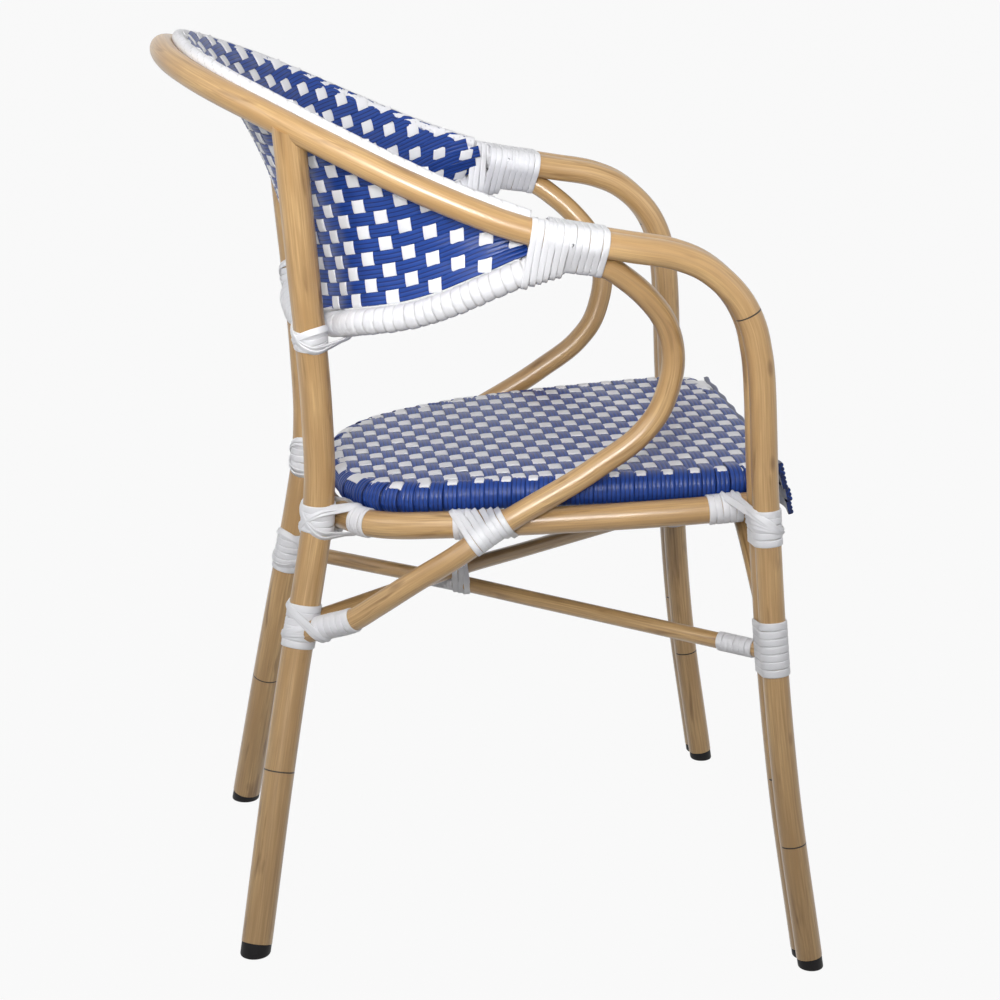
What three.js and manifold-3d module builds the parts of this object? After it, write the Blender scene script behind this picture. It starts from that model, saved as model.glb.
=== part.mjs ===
// Bistro armchair: bent tubes with a printed bamboo look, woven seat and back, strand lashings.
// Millimetres, +Z up. The chair faces -Y and its right-hand side, for the sitter, is -X.
import * as THREE from "three";
import { mergeVertices } from "three/addons/utils/BufferGeometryUtils.js";
import Module from "manifold-3d";

const wasm = await Module();
wasm.setup();

// Overall sizes
const seatHeight = 457;
const armAxisHeight = 671;
const hoopAxisHeight = 819;
const armHalfWidth = 250;
const armReach = 132;
const backReach = 381;
const frontFootSplay = 31;
const frontFootRake = 56;
const seatReach = 398;
const seatFrontLead = 22;

// Tubes: outer radius of each and the wall
const armTubeRadius = 12;
const backLegRadius = 14.5;
const scrollRadius = 10.5;
const seatRailRadius = 12.5;
const stretcherRadius = 7.5;
const archRadius = 7.5;
const lowerRailRadius = 12.5;
const topRodRadius = 5.5;
const seatFrameRadius = 11.5;
const tubeWall = 1.5;

// Clearance between touching pieces, and how far cutters run past a piece
const touchGap = 0.3;
const cutOverrun = 6;

// Flat white strand that ties the joints
const bandWidth = 6;
const bandGap = 0.8;
const bandThickness = 1.6;
const loopSteps = 9;
const bundleSteps = 13;

// Fineness of the bent tubes
const outerSides = 10;
const boreSides = 6;
const bendSag = 0.8;
const longestRun = 260;
const shortestRun = 8;
const mergeReach = 0.0001;

// Steps in which curves are read and searched
const curveSteps = 400;
const searchSteps = 1000;
const crossingSteps = 500;
const outlineSteps = 200;
const distanceSteps = 300;
const holdRounds = 4;

const tan = { color: 0xc59a5e, roughness: 0.45, metalness: 0.0 };
const white = { color: 0xf1efea, roughness: 0.5, metalness: 0.0 };
const blue = { color: 0x26458f, roughness: 0.45, metalness: 0.0 };
const black = { color: 0x1b1b1c, roughness: 0.6, metalness: 0.0 };

const chair = new THREE.Group();
const V = (x, y, z) => new THREE.Vector3(x, y, z);
const up = V(0, 0, 1);

function add(name, geometry, look) {
  const mesh = new THREE.Mesh(geometry, new THREE.MeshStandardMaterial(look));
  mesh.name = name;
  chair.add(mesh);
  return mesh;
}

// A smooth path turned into straight runs that stay within a small sag of it, read by length
class Path {
  constructor(points, smooth = true, anchors = []) {
    this.points = points;
    if (smooth) {
      this.points = this.runs(new THREE.CatmullRomCurve3(points, false, "centripetal"), anchors);
    }
    const ends = this.points.length - 1;
    this.stops = [0];
    for (let i = 1; i <= ends; i++) {
      this.stops.push(this.stops[i - 1] + this.points[i].distanceTo(this.points[i - 1]));
    }
    this.length = this.stops[ends];
    const run = (i) => this.points[i + 1].clone().sub(this.points[i]).normalize();
    this.tangents = this.points.map((p, i) => {
      if (i === 0 || i === ends) {
        return run(i === 0 ? 0 : ends - 1);
      }
      return run(i - 1).add(run(i)).normalize();
    });
  }
  runs(curve, anchors) {
    curve.arcLengthDivisions = curveSteps;
    const fine = curve.getSpacedPoints(curveSteps);
    const held = anchors.map((anchor) => {
      const far = fine.map((p) => p.distanceTo(anchor));
      return far.indexOf(Math.min(...far));
    });
    const kept = [fine[0]];
    let start = 0;
    for (let i = 2; i < fine.length; i++) {
      const line = new THREE.Line3(fine[start], fine[i]);
      const middle = fine[Math.round((start + i) / 2)];
      const sag = line.closestPointToPoint(middle, true, V(0, 0, 0)).distanceTo(middle);
      if (sag > bendSag || line.distance() > longestRun || held.includes(i - 1)) {
        start = i - 1;
        kept.push(fine[start]);
      }
    }
    if (kept.length > 1 && kept.at(-1).distanceTo(fine.at(-1)) < shortestRun) {
      kept.pop();
    }
    kept.push(fine.at(-1));
    return kept;
  }
  segment(s) {
    let i = 0;
    while (i + 2 < this.points.length && this.stops[i + 1] < s) {
      i++;
    }
    return [i, (s - this.stops[i]) / (this.stops[i + 1] - this.stops[i])];
  }
  point(s) {
    const [i, k] = this.segment(s);
    return this.points[i].clone().lerp(this.points[i + 1], k);
  }
  tangent(s) {
    const [i, k] = this.segment(s);
    const inside = THREE.MathUtils.clamp(k, 0, 1);
    return this.tangents[i].clone().lerp(this.tangents[i + 1], inside).normalize();
  }
  // Length at which a measure of the point first rises to a value
  where(measure, value) {
    for (let i = 1; i <= searchSteps; i++) {
      const s = (this.length * i) / searchSteps;
      const high = measure(this.point(s));
      if (high >= value) {
        const before = (this.length * (i - 1)) / searchSteps;
        const low = measure(this.point(before));
        return before + ((s - before) * (value - low)) / (high - low || 1);
      }
    }
    return this.length;
  }
  // Length of the point nearest to a place
  nearest(target) {
    let best = 0;
    for (let i = 0; i <= searchSteps; i++) {
      const s = (this.length * i) / searchSteps;
      if (this.point(s).distanceTo(target) < this.point(best).distanceTo(target)) {
        best = s;
      }
    }
    return best;
  }
}

// Stations of a tube: its cut ends and the corners between them
class StationCurve extends THREE.Curve {
  constructor(path, from, to) {
    super();
    const inside = path.stops.filter((s) => s > from + shortestRun / 4 && s < to - shortestRun / 4);
    this.stops = [from, ...inside, to];
    this.path = path;
    this.count = this.stops.length - 1;
  }
  stop(u) {
    return this.stops[Math.round(u * this.count)];
  }
  getPoint(u) {
    return this.path.point(this.stop(u));
  }
  getPointAt(u) {
    return this.getPoint(u);
  }
  getTangentAt(u) {
    return this.path.tangent(this.stop(u));
  }
}

function ring(target, radius, sides) {
  for (let i = 0; i < sides; i++) {
    const a = (i / sides) * 2 * Math.PI;
    const move = i ? "lineTo" : "moveTo";
    target[move](radius * Math.cos(a), radius * Math.sin(a));
  }
  target.closePath();
  return target;
}

function tube(path, from, to, radius, wall = tubeWall, around = outerSides) {
  const stations = new StationCurve(path, from, to);
  const section = ring(new THREE.Shape(), radius, around);
  if (wall > 0) {
    section.holes.push(ring(new THREE.Path(), radius - wall, boreSides));
  }
  const options = { steps: stations.count, extrudePath: stations, bevelEnabled: false };
  return new THREE.ExtrudeGeometry(section, options);
}

// Geometry to solid and back, for the coped joints
function toSolid(geometry) {
  const bare = geometry.clone();
  bare.deleteAttribute("normal");
  bare.deleteAttribute("uv");
  const merged = mergeVertices(bare, mergeReach);
  const mesh = new wasm.Mesh({
    numProp: 3,
    vertProperties: new Float32Array(merged.attributes.position.array),
    triVerts: new Uint32Array(merged.index.array),
  });
  return new wasm.Manifold(mesh);
}

function fromSolid(solid) {
  const mesh = solid.getMesh();
  const geometry = new THREE.BufferGeometry();
  geometry.setAttribute("position", new THREE.BufferAttribute(mesh.vertProperties, 3));
  geometry.setIndex(new THREE.BufferAttribute(mesh.triVerts, 1));
  geometry.computeVertexNormals();
  return geometry;
}

// Rings of points joined into one closed skin, facing out
function skin(rings) {
  const size = rings[0].length;
  const positions = rings.flat().flatMap((p) => [p.x, p.y, p.z]);
  const faces = [];
  const quad = (a, b, c, d) => faces.push(a, b, c, a, c, d);
  for (let r = 0; r + 1 < rings.length; r++) {
    for (let k = 0; k < size; k++) {
      const next = (k + 1) % size;
      quad(r * size + k, r * size + next, (r + 1) * size + next, (r + 1) * size + k);
    }
  }
  const last = (rings.length - 1) * size;
  for (let k = 0; k + 1 < size / 2; k++) {
    quad(k, size - 1 - k, size - 2 - k, k + 1);
    quad(last + k, last + k + 1, last + size - 2 - k, last + size - 1 - k);
  }
  const at = (i) => V(positions[3 * i], positions[3 * i + 1], positions[3 * i + 2]);
  let volume = 0;
  for (let i = 0; i < faces.length; i += 3) {
    volume += at(faces[i]).dot(at(faces[i + 1]).cross(at(faces[i + 2])));
  }
  if (volume < 0) {
    faces.reverse();
  }
  const geometry = new THREE.BufferGeometry();
  geometry.setAttribute("position", new THREE.Float32BufferAttribute(positions, 3));
  geometry.setIndex(faces);
  geometry.computeVertexNormals();
  return geometry;
}

// Radius at which a strand winding lies round a tube, alone or in a bundle, and its outside
const bundleCornerShare = 0.9;
const bandRadius = (radius, bundled = false) => {
  const corner = bundled ? (bundleCornerShare * 2 * Math.PI) / bundleSteps : Math.PI / loopSteps;
  return (radius + touchGap + bandThickness / 2) / Math.cos(corner);
};
const lashedRadius = (radius, bundled = false) => bandRadius(radius, bundled) + bandThickness / 2;

// Where a path crosses the section plane of another, as a place in that plane
function crossing(path, middle, along, reach) {
  let best = null;
  for (let i = 0; i <= crossingSteps; i++) {
    const s = (path.length * i) / crossingSteps;
    const p = path.point(s).sub(middle);
    const off = Math.abs(p.dot(along));
    if (p.length() < reach && (best === null || off < best.off)) {
      best = { off, p, s };
    }
  }
  const lean = Math.abs(path.tangent(best.s).dot(along));
  return { place: best.p.addScaledVector(along, -best.p.dot(along)), lean };
}

// One unbroken strand wound in a helix round one tube or a bundle of tubes
const gaps = {};
function winding(name, members, middle, loops, extraGap = 0) {
  const main = members[0].path;
  const bundled = members.length > 1;
  const steps = bundled ? bundleSteps : loopSteps;
  const pitch = bandWidth + bandGap + extraGap;
  const first = middle - (loops * pitch) / 2;
  const reach = members.reduce((sum, m) => sum + 2 * m.radius, 0);
  const rings = [];
  for (let i = 0; i <= loops * steps; i++) {
    const s = first + (pitch * i) / steps;
    const along = main.tangent(s);
    const centre = main.point(s);
    const side = V(1, 0, 0).addScaledVector(along, -along.x).normalize();
    const rise = along.clone().cross(side);
    const angle = (2 * Math.PI * i) / steps;
    const out = side.multiplyScalar(Math.cos(angle)).addScaledVector(rise, Math.sin(angle));
    let far = -Infinity;
    let rim = null;
    for (const member of members) {
      const here = { place: V(0, 0, 0), lean: 1 };
      const { place, lean } = member.path === main ? here : crossing(member.path, centre, along, reach);
      const slant = (bandWidth * Math.sqrt(1 - lean * lean)) / 2;
      const radius = bandRadius(member.radius, bundled) / lean + slant / lean;
      if (place.dot(out) + radius > far) {
        far = place.dot(out) + radius;
        rim = place.addScaledVector(out, radius).add(centre);
      }
    }
    const corner = (w, t) => rim.clone().addScaledVector(along, w).addScaledVector(out, t);
    const w = bandWidth / 2;
    const t = bandThickness / 2;
    rings.push([corner(-w, -t), corner(w, -t), corner(w, t), corner(-w, t)]);
  }
  let gap = Infinity;
  for (let i = 0; i + steps < rings.length; i++) {
    for (const mine of [rings[i][1], rings[i][2]]) {
      for (const other of [rings[i + steps][0], rings[i + steps][3]]) {
        gap = Math.min(gap, mine.distanceTo(other));
      }
    }
  }
  gaps[name] = gap;
  add(name, skin(rings), white);
}

// Outer tube of arm and front leg, as shares of splay, of rake or arm reach, and of arm height
const legShares = [
  [1, 1, 0],
  [0.91, 0.71, 0.156],
  [0.74, 0.44, 0.312],
  [0.43, 0.29, 0.468],
  [0.1, 0.15, 0.638],
  [0.02, 0.04, 0.79],
];
const armShares = [
  [0.02, 0.865],
  [0.088, 0.906],
  [0.208, 0.941],
  [0.44, 0.976],
  [0.7, 0.991],
];
// Hoop from the arm to the middle of the back: shares of half width, reach and rise
const hoopShares = [
  [1, 0, 0],
  [0.986, 0.173, 0.081],
  [0.95, 0.339, 0.23],
  [0.889, 0.499, 0.405],
  [0.8, 0.65, 0.587],
  [0.671, 0.79, 0.752],
  [0.49, 0.903, 0.876],
  [0.26, 0.976, 0.962],
];

function halfFrame() {
  const rise = hoopAxisHeight - armAxisHeight;
  const points = [];
  for (const [splay, rake, height] of legShares) {
    points.push(V(armHalfWidth + splay * frontFootSplay, -rake * frontFootRake, height * armAxisHeight));
  }
  for (const [back, height] of armShares) {
    points.push(V(armHalfWidth, back * armReach, height * armAxisHeight));
  }
  for (const [half, back, height] of hoopShares) {
    points.push(V(half * armHalfWidth, armReach + back * backReach, armAxisHeight + height * rise));
  }
  return points;
}

const mirrored = (points, side) => points.map((p) => V(p.x * side, p.y, p.z));
const framePath = new Path([
  ...mirrored(halfFrame(), -1),
  V(0, armReach + backReach, hoopAxisHeight),
  ...mirrored(halfFrame(), 1).reverse(),
]);

// Foot caps close each leg and stand flat on the floor
const capHeight = 11;
const capInset = 0.4;
function footCap(name, path, radius) {
  const rod = toSolid(tube(path, -2 * capHeight, capHeight, radius - capInset, 0));
  const width = 2 * (armHalfWidth + frontFootSplay + radius + cutOverrun);
  const depth = 3 * capHeight + cutOverrun;
  const slab = new THREE.BoxGeometry(width, 2 * (backReach + armReach), depth);
  slab.translate(0, 0, -depth / 2);
  add(name, fromSolid(rod.subtract(toSolid(slab))), black);
}

// Front legs and arms: an outer and an inner tube side by side
const wrapLoops = 10;
const wrapMiddleLead = 38;
const jointS = framePath.where((p) => p.y, armReach + wrapMiddleLead);
const sides = [["right", -1], ["left", 1]];
const outerPath = {};
const innerPath = {};
for (const [word, side] of sides) {
  const half = new Path(mirrored(halfFrame(), side));
  outerPath[word] = half;
  const pairSpacing = 2 * armTubeRadius + touchGap;
  const corners = half.points.filter((p, i) => half.stops[i] < jointS);
  const beside = corners.map((p, i) => {
    const t = half.tangents[i];
    return V(-side, 0, 0).addScaledVector(t, side * t.x).setLength(pairSpacing).add(p);
  });
  beside.push(half.point(jointS).add(V(-side * pairSpacing, 0, 0)));
  innerPath[word] = new Path(beside, false);
  add(`arm_outer_${word}`, tube(half, capHeight + touchGap, jointS - touchGap / 2, armTubeRadius), tan);
  add(`arm_inner_${word}`, tube(innerPath[word], capHeight + touchGap, innerPath[word].length, armTubeRadius), tan);
  footCap(`foot_cap_outer_${word}`, half, armTubeRadius);
  footCap(`foot_cap_inner_${word}`, innerPath[word], armTubeRadius);
}
const hoopEnd = framePath.length - jointS - touchGap / 2;
add("back_hoop", tube(framePath, jointS + touchGap / 2, hoopEnd, armTubeRadius), tan);

// Seat profile: shares of the seat reach from front to rear, and of the drop towards the rear
const seatDrop = 28;
const dropShares = [
  [-0.05, 0],
  [0, 0.02],
  [0.25, 0.19],
  [0.5, 0.37],
  [0.62, 0.48],
  [0.75, 0.67],
  [0.87, 0.87],
  [1.05, 1.05],
];
function seatTop(y) {
  const share = (y + seatFrontLead) / seatReach;
  for (let i = 1; i < dropShares.length; i++) {
    const [a, dropA] = dropShares[i - 1];
    const [b, dropB] = dropShares[i];
    if (share <= b || i === dropShares.length - 1) {
      const k = (share - a) / (b - a);
      return seatHeight - seatDrop * (dropA + k * (dropB - dropA));
    }
  }
  return seatHeight;
}
const plateThickness = 3;
const frameInset = 20.5;
const frameDepth = plateThickness + touchGap + seatFrameRadius;
const stack = lashedRadius(seatRailRadius) + seatFrameRadius + 2 * touchGap;
const railDepth = frameDepth + Math.sqrt(stack * stack - frameInset * frameInset);

// Seat rail: a U under the seat, held between the inner leg tubes
const railLevel = seatTop(0) - railDepth;
const postS = innerPath.left.where((p) => p.z, railLevel);
const postX = innerPath.left.point(postS).x;
const postY = innerPath.left.point(postS).y;
const railHalf = postX - lashedRadius(armTubeRadius, true) - touchGap - seatRailRadius;
const railSag = 4.5;
const railShares = [
  [1, 0, 0],
  [1, 0.06, 0.1],
  [0.998, 0.12, 0.3],
  [0.953, 0.347, 0.85],
  [0.896, 0.515, 1],
  [0.846, 0.653, 0.95],
  [0.798, 0.767, 0.7],
  [0.7, 0.878, 0.4],
  [0.522, 0.953, 0.15],
  [0.27, 0.991, 0.03],
];
function railPoints(depth) {
  const half = railShares.map(([x, y, sag]) => {
    const back = y * seatReach - seatFrontLead;
    return V(x * railHalf, back, seatTop(back) - depth - sag * railSag);
  });
  const rear = seatReach - seatFrontLead;
  return [...mirrored(half, -1), V(0, rear, seatTop(rear) - depth), ...mirrored(half, 1).reverse()];
}
const railPath = new Path(railPoints(railDepth));
const railFront = railPath.where((p) => p.y, postY - seatRailRadius);
add("seat_rail", tube(railPath, railFront, railPath.length - railFront, seatRailRadius), tan);

// A point of the rail on one side, found by its share of the reach
const railContactShare = 0.953;
const railSide = (share) => railPath.where((p) => p.y, share * seatReach - seatFrontLead);
const planNormal = (path, s, side) => {
  const t = path.tangent(s);
  const n = V(t.y, -t.x, 0).normalize();
  return n.x * side < 0 ? n.negate() : n;
};

// Front cross rail between the sides of the U
const crossRadius = 9;
const crossY = postY;
const crossLevel = seatTop(crossY) - frameDepth - seatFrameRadius - crossRadius - 2 * touchGap;
const crossEnds = [V(-railHalf, crossY, crossLevel), V(railHalf, crossY, crossLevel)];
const crossPath = new Path(crossEnds, false);
// Cuts the end of a piece to the round of the tube that it meets
function cope(solid, path, target, radius) {
  const s = path.nearest(target);
  const length = 5 * radius;
  const around = 2 * outerSides;
  const clear = (radius + touchGap) / Math.cos(Math.PI / around);
  return solid.subtract(toSolid(tube(path, s - length, s + length, clear, 0, around)));
}
let crossRail = toSolid(tube(crossPath, 0, crossPath.length, crossRadius));
for (const end of crossEnds) {
  crossRail = cope(crossRail, railPath, end, seatRailRadius);
}
add("front_cross_rail", fromSolid(crossRail), tan);

// Back legs: they touch the rail's lashings, splay to the floor and rise to the hoop
const legFootSplay = 77;
const legFootRake = 69;
const legTopRake = 21;
const legBelowShares = [
  [1, 1, 0],
  [0.52, 0.66, 0.36],
  [0.12, 0.29, 0.72],
];
const legAboveShares = [
  [0.1, -0.1, 0.2],
  [0.45, 0.36, 0.53],
  [0.78, 0.72, 0.8],
];
const backLegPath = {};
const legTopShare = 0.722;
const legTopS = framePath.where((p) => p.y, armReach + legTopShare * backReach);
const legTopDrop = 4;
for (const [word, side] of sides) {
  const rearSide = railSide(railContactShare);
  const s = side < 0 ? rearSide : railPath.length - rearSide;
  const rail = railPath.point(s);
  const hold = lashedRadius(backLegRadius) + touchGap + seatRailRadius;
  const base = rail.clone().addScaledVector(planNormal(railPath, s, side), hold);
  const hoopS = side < 0 ? legTopS : framePath.length - legTopS;
  const hoop = framePath.point(hoopS);
  const points = [];
  for (const [splay, rake, height] of legBelowShares) {
    points.push(V(base.x + side * splay * legFootSplay, base.y + rake * legFootRake, height * base.z));
  }
  points.push(base);
  for (const [splay, rake, height] of legAboveShares) {
    const z = base.z + height * (hoop.z - base.z);
    points.push(V(base.x + side * splay * (side * hoop.x - side * base.x), base.y + rake * legTopRake, z));
  }
  points.push(hoop);
  const path = new Path(points, true, [base]);
  backLegPath[word] = path;
  let leg = toSolid(tube(path, capHeight + touchGap, path.length, backLegRadius));
  leg = cope(leg, framePath, hoop, armTubeRadius);
  const lid = new THREE.BoxGeometry(6 * backLegRadius, 6 * backLegRadius, 4 * backLegRadius);
  lid.translate(0, 0, 2 * backLegRadius - legTopDrop);
  const frame = new THREE.Matrix4();
  const t = framePath.tangent(hoopS);
  const across = up.clone().cross(t).normalize();
  frame.makeBasis(t, across, t.clone().cross(across)).setPosition(hoop);
  lid.applyMatrix4(frame);
  leg = leg.subtract(toSolid(lid));
  add(`back_leg_${word}`, fromSolid(leg), tan);
  footCap(`foot_cap_back_${word}`, path, backLegRadius);
}

// Scroll braces: from under the arm, round in a loop, outside the seat rail, to the back leg
const scrollReach = 94.5;
const scrollContactShare = 0.618;
const braceLevel = 294;
const braceLashLead = 12;
const nest = (radius) => {
  const apart = armTubeRadius + radius + touchGap;
  const half = armTubeRadius + touchGap / 2;
  return Math.sqrt(apart * apart - half * half);
};
// Shares of the way out to the arm, forward and down to the rail
const loopShares = [
  [0.9, 0.408, 0.05],
  [0.76, 0.608, 0.108],
  [0.61, 0.748, 0.162],
  [0.41, 0.887, 0.2325],
  [0.24, 0.988, 0.337],
  [0.17, 0.996, 0.4256],
  [0.1, 0.92, 0.541],
  [0.073, 0.847, 0.596],
  [0.073, 0.73, 0.651],
  [0.073, 0.552, 0.7055],
  [0.06, 0.357, 0.759],
  [0.05, 0.129, 0.8133],
];
// Shares of the run from the rail to the leg: sideways, back and down
const runShares = [
  [0.02, 0.2, 0.222],
  [0.27, 0.506, 0.556],
  [0.53, 0.733, 0.834],
];
const between = (a, b, x, y, z) => V(a.x + x * (b.x - a.x), a.y + y * (b.y - a.y), a.z + z * (b.z - a.z));
const startLead = 6;
const scrollPath = {};
const scrollMeet = {};
const lowerRailEnd = {};
for (const [word, side] of sides) {
  const arm = outerPath[word];
  const under = (s, radius) => {
    const beside = side * (armTubeRadius + touchGap / 2);
    return arm.point(s).add(V(-beside, 0, -nest(radius)));
  };
  const start = under(jointS - startLead, scrollRadius);
  const nested = under(jointS - startLead - scrollReach / 4, scrollRadius);
  lowerRailEnd[word] = under(jointS + startLead, lowerRailRadius);
  const contactS = railSide(scrollContactShare);
  const railS = side < 0 ? contactS : railPath.length - contactS;
  const hold = lashedRadius(scrollRadius) + 3 * touchGap + seatRailRadius;
  const meet = railPath.point(railS).addScaledVector(planNormal(railPath, railS, side), hold);
  const leg = backLegPath[word];
  const foot = leg.point(leg.where((p) => p.z, braceLevel));
  const points = [start, nested];
  for (const [out, forward, down] of loopShares) {
    const x = meet.x + out * (start.x - meet.x);
    points.push(V(x, start.y - forward * scrollReach, start.z + down * (meet.z - start.z)));
  }
  points.push(meet);
  for (const [x, y, z] of runShares) {
    points.push(between(meet, foot, x, y, z));
  }
  points.push(foot);
  const path = new Path(points, true, [meet]);
  scrollPath[word] = path;
  scrollMeet[word] = meet;
  const scroll = toSolid(tube(path, 0, path.length, scrollRadius));
  add(`scroll_brace_${word}`, fromSolid(cope(scroll, leg, foot, lashedRadius(backLegRadius))), tan);
}

// Stretchers: each from a front leg to the opposite back leg, one over the other in the middle
const stretcherFront = 292;
const stretcherBack = 297;
const stretcherSpacing = 2 * stretcherRadius + touchGap;
const stretcherPath = {};
const crossShare = 0.615;
const pairs = [["lower", "right", "left", 0], ["upper", "left", "right", 1]];
for (const [word, front, back, above] of pairs) {
  const frontLeg = innerPath[front];
  const backLeg = backLegPath[back];
  const a = frontLeg.point(frontLeg.where((p) => p.z, stretcherFront));
  const b = backLeg.point(backLeg.where((p) => p.z, stretcherBack));
  const middle = a.clone().lerp(b, crossShare);
  middle.x = 0;
  middle.z += above * stretcherSpacing;
  const path = new Path([a, middle, b], true, [middle]);
  stretcherPath[word] = path;
  let stretcher = toSolid(tube(path, 0, path.length, stretcherRadius));
  stretcher = cope(stretcher, frontLeg, a, lashedRadius(armTubeRadius, true));
  stretcher = cope(stretcher, backLeg, b, lashedRadius(backLegRadius));
  add(`stretcher_${word}`, fromSolid(stretcher), tan);
}

// Arch brace: from one front leg up under the front cross rail and down to the other
const archLevel = 314;
const archShares = [
  [1, 0],
  [0.77, 0.5],
  [0.63, 0.8],
  [0.5, 0.96],
  [0.36, 1],
];
const flatShare = Math.cos(Math.PI / outerSides);
const archTop = crossLevel - (crossRadius + archRadius) * flatShare - touchGap;
const archFoot = innerPath.left.point(innerPath.left.where((p) => p.z, archLevel));
const archHalf = archShares.map(([out, height]) =>
  V(out * archFoot.x, archFoot.y + height * (crossY - archFoot.y), archLevel + height * (archTop - archLevel)));
const archPath = new Path([...mirrored(archHalf, -1), V(0, crossY, archTop), ...mirrored(archHalf, 1).reverse()]);
let arch = toSolid(tube(archPath, 0, archPath.length, archRadius));
arch = cope(arch, innerPath.left, archFoot, lashedRadius(armTubeRadius, true));
arch = cope(arch, innerPath.right, mirrored([archFoot], -1)[0], lashedRadius(armTubeRadius, true));
add("front_arch_brace", fromSolid(arch), tan);

// Seat frame: a closed ring on the rail, under the woven edge
const frameLead = 12.6;
const frameFront = crossY - frameLead;
const frameCornerRadius = 26;
const framePlan = [];
for (const [, y, sag] of railShares.slice(3)) {
  const at = railSide(y);
  const rise = railDepth - frameDepth + sag * railSag;
  const inset = Math.sqrt(stack * stack - rise * rise);
  framePlan.push(railPath.point(at).addScaledVector(planNormal(railPath, at, -1), -inset));
}
const frameSide = railHalf - frameInset;
const corner = (a) => {
  const x = -frameSide + frameCornerRadius * (1 - Math.sin(a));
  return V(x, frameFront + frameCornerRadius * (1 - Math.cos(a)), 0);
};
const frameHalf = [V(-frameSide / 2, frameFront, 0), corner(0), corner(Math.PI / 4), corner(Math.PI / 2)];
frameHalf.push(V(-frameSide, seatReach * railShares[2][1], 0), ...framePlan);
for (const p of frameHalf) {
  p.z = seatTop(p.y) - frameDepth;
}
const frameRear = seatReach - seatFrontLead - frameInset;
const seatFramePath = new Path([
  V(0, frameFront, seatTop(frameFront) - frameDepth),
  ...frameHalf,
  V(0, frameRear, seatTop(frameRear) - frameDepth),
  ...mirrored(frameHalf, -1).reverse(),
  V(0, frameFront, seatTop(frameFront) - frameDepth),
]);
add("seat_frame", tube(seatFramePath, touchGap / 2, seatFramePath.length - touchGap / 2, seatFrameRadius), blue);

// Woven seat: a plate over the frame, and the apron that hangs from its front edge
const plateEdge = 1;
const apronThickness = 6;
const apronDrop = 49;
const apronFlare = 10;
const apronShares = [
  [0, 0],
  [0.25, 0.2],
  [0.62, 0.55],
  [1, 1],
];
const apronInside = frameFront - seatFrameRadius - touchGap;
const plateRows = [apronInside - apronThickness];
const rowCount = 15;
const plateRear = frameRear + seatFrameRadius - plateEdge;
for (let i = 1; i <= rowCount; i++) {
  const share = Math.sin((i / rowCount) * (Math.PI / 2));
  plateRows.push(plateRows[0] + share * (plateRear - plateRows[0]));
}
const outline = [];
for (let i = 0; i <= outlineSteps; i++) {
  const s = (seatFramePath.length / 2) * (i / outlineSteps);
  const out = planNormal(seatFramePath, s, -1).multiplyScalar(seatFrameRadius - plateEdge);
  outline.push(seatFramePath.point(s).add(out));
}
function plateHalf(y) {
  let half = 0;
  for (let i = 1; i < outline.length; i++) {
    const a = outline[i - 1];
    const b = outline[i];
    if (a.y <= y && b.y > y) {
      half = -THREE.MathUtils.mapLinear(y, a.y, b.y, a.x, b.x);
    }
  }
  return half;
}
const plateRings = plateRows.map((y, i) => {
  const widest = i === 0 ? plateHalf(frameFront) : plateHalf(y);
  const x = Math.max(widest, plateThickness);
  const top = seatTop(y);
  const low = top - plateThickness;
  return [V(-x, y, top), V(x, y, top), V(x, y, low), V(-x, y, low)];
});
add("seat_weave", skin(plateRings), blue);

const apronHalf = plateHalf(frameFront);
const apronTop = seatTop(apronInside) - plateThickness - touchGap;
const apronRings = [-1, 1].map((side) => {
  const place = ([down, out], thick) => {
    const y = apronInside - out * apronFlare - thick;
    return V(side * apronHalf, y, apronTop - down * apronDrop);
  };
  const outer = apronShares.map((row) => place(row, apronThickness));
  const inner = apronShares.map((row) => place(row, 0));
  return [...outer, ...inner.reverse()];
});
add("seat_apron", skin(apronRings), blue);

// Lower back rail, wrapped in strand: between the arms, inside the back legs
const lowerRailLevel = 578;
const lowerReachShare = 0.5553;
const lowerRailReach = lowerReachShare * seatReach;
const lowerRailShares = [
  [0.95, 0.122, 0.905],
  [0.916, 0.285, 0.7],
  [0.864, 0.443, 0.485],
  [0.792, 0.595, 0.32],
  [0.704, 0.747, 0.215],
];
const lowerMeetLevelShare = 0.07;
const lowerMeetTurn = THREE.MathUtils.degToRad(48);
const lowerRearShares = [0.3, 0.977, 0.02];
const lowerHold = lashedRadius(backLegRadius) + 2 * touchGap + lowerRailRadius;
function lowerRail(hold) {
  const end = lowerRailEnd.right;
  const rise = end.z - lowerRailLevel;
  const place = ([half, back, height]) =>
    V(-half * armHalfWidth, end.y + back * lowerRailReach, lowerRailLevel + height * rise);
  const level = lowerRailLevel + lowerMeetLevelShare * rise;
  const leg = backLegPath.right.point(backLegPath.right.where((p) => p.z, level));
  const meet = leg.add(V(hold * Math.cos(lowerMeetTurn), -hold * Math.sin(lowerMeetTurn), 0));
  const half = [end, ...lowerRailShares.map(place), meet, place(lowerRearShares)];
  const rear = V(0, end.y + lowerRailReach, lowerRailLevel);
  const held = [meet, ...mirrored([meet], -1)];
  return new Path([...half, rear, ...mirrored(half, -1).reverse()], true, held);
}
function leastDistance(a, b) {
  let least = Infinity;
  for (let i = 0; i <= distanceSteps; i++) {
    const p = a.point((a.length * i) / distanceSteps);
    least = Math.min(least, b.point(b.nearest(p)).distanceTo(p));
  }
  return least;
}
let lowerReach = lowerHold;
for (let i = 0; i < holdRounds; i++) {
  lowerReach += lowerHold - leastDistance(lowerRail(lowerReach), backLegPath.right);
}
const lowerPath = lowerRail(lowerReach);
add("back_lower_rail", tube(lowerPath, 0, lowerPath.length, lowerRailRadius), white);

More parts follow.
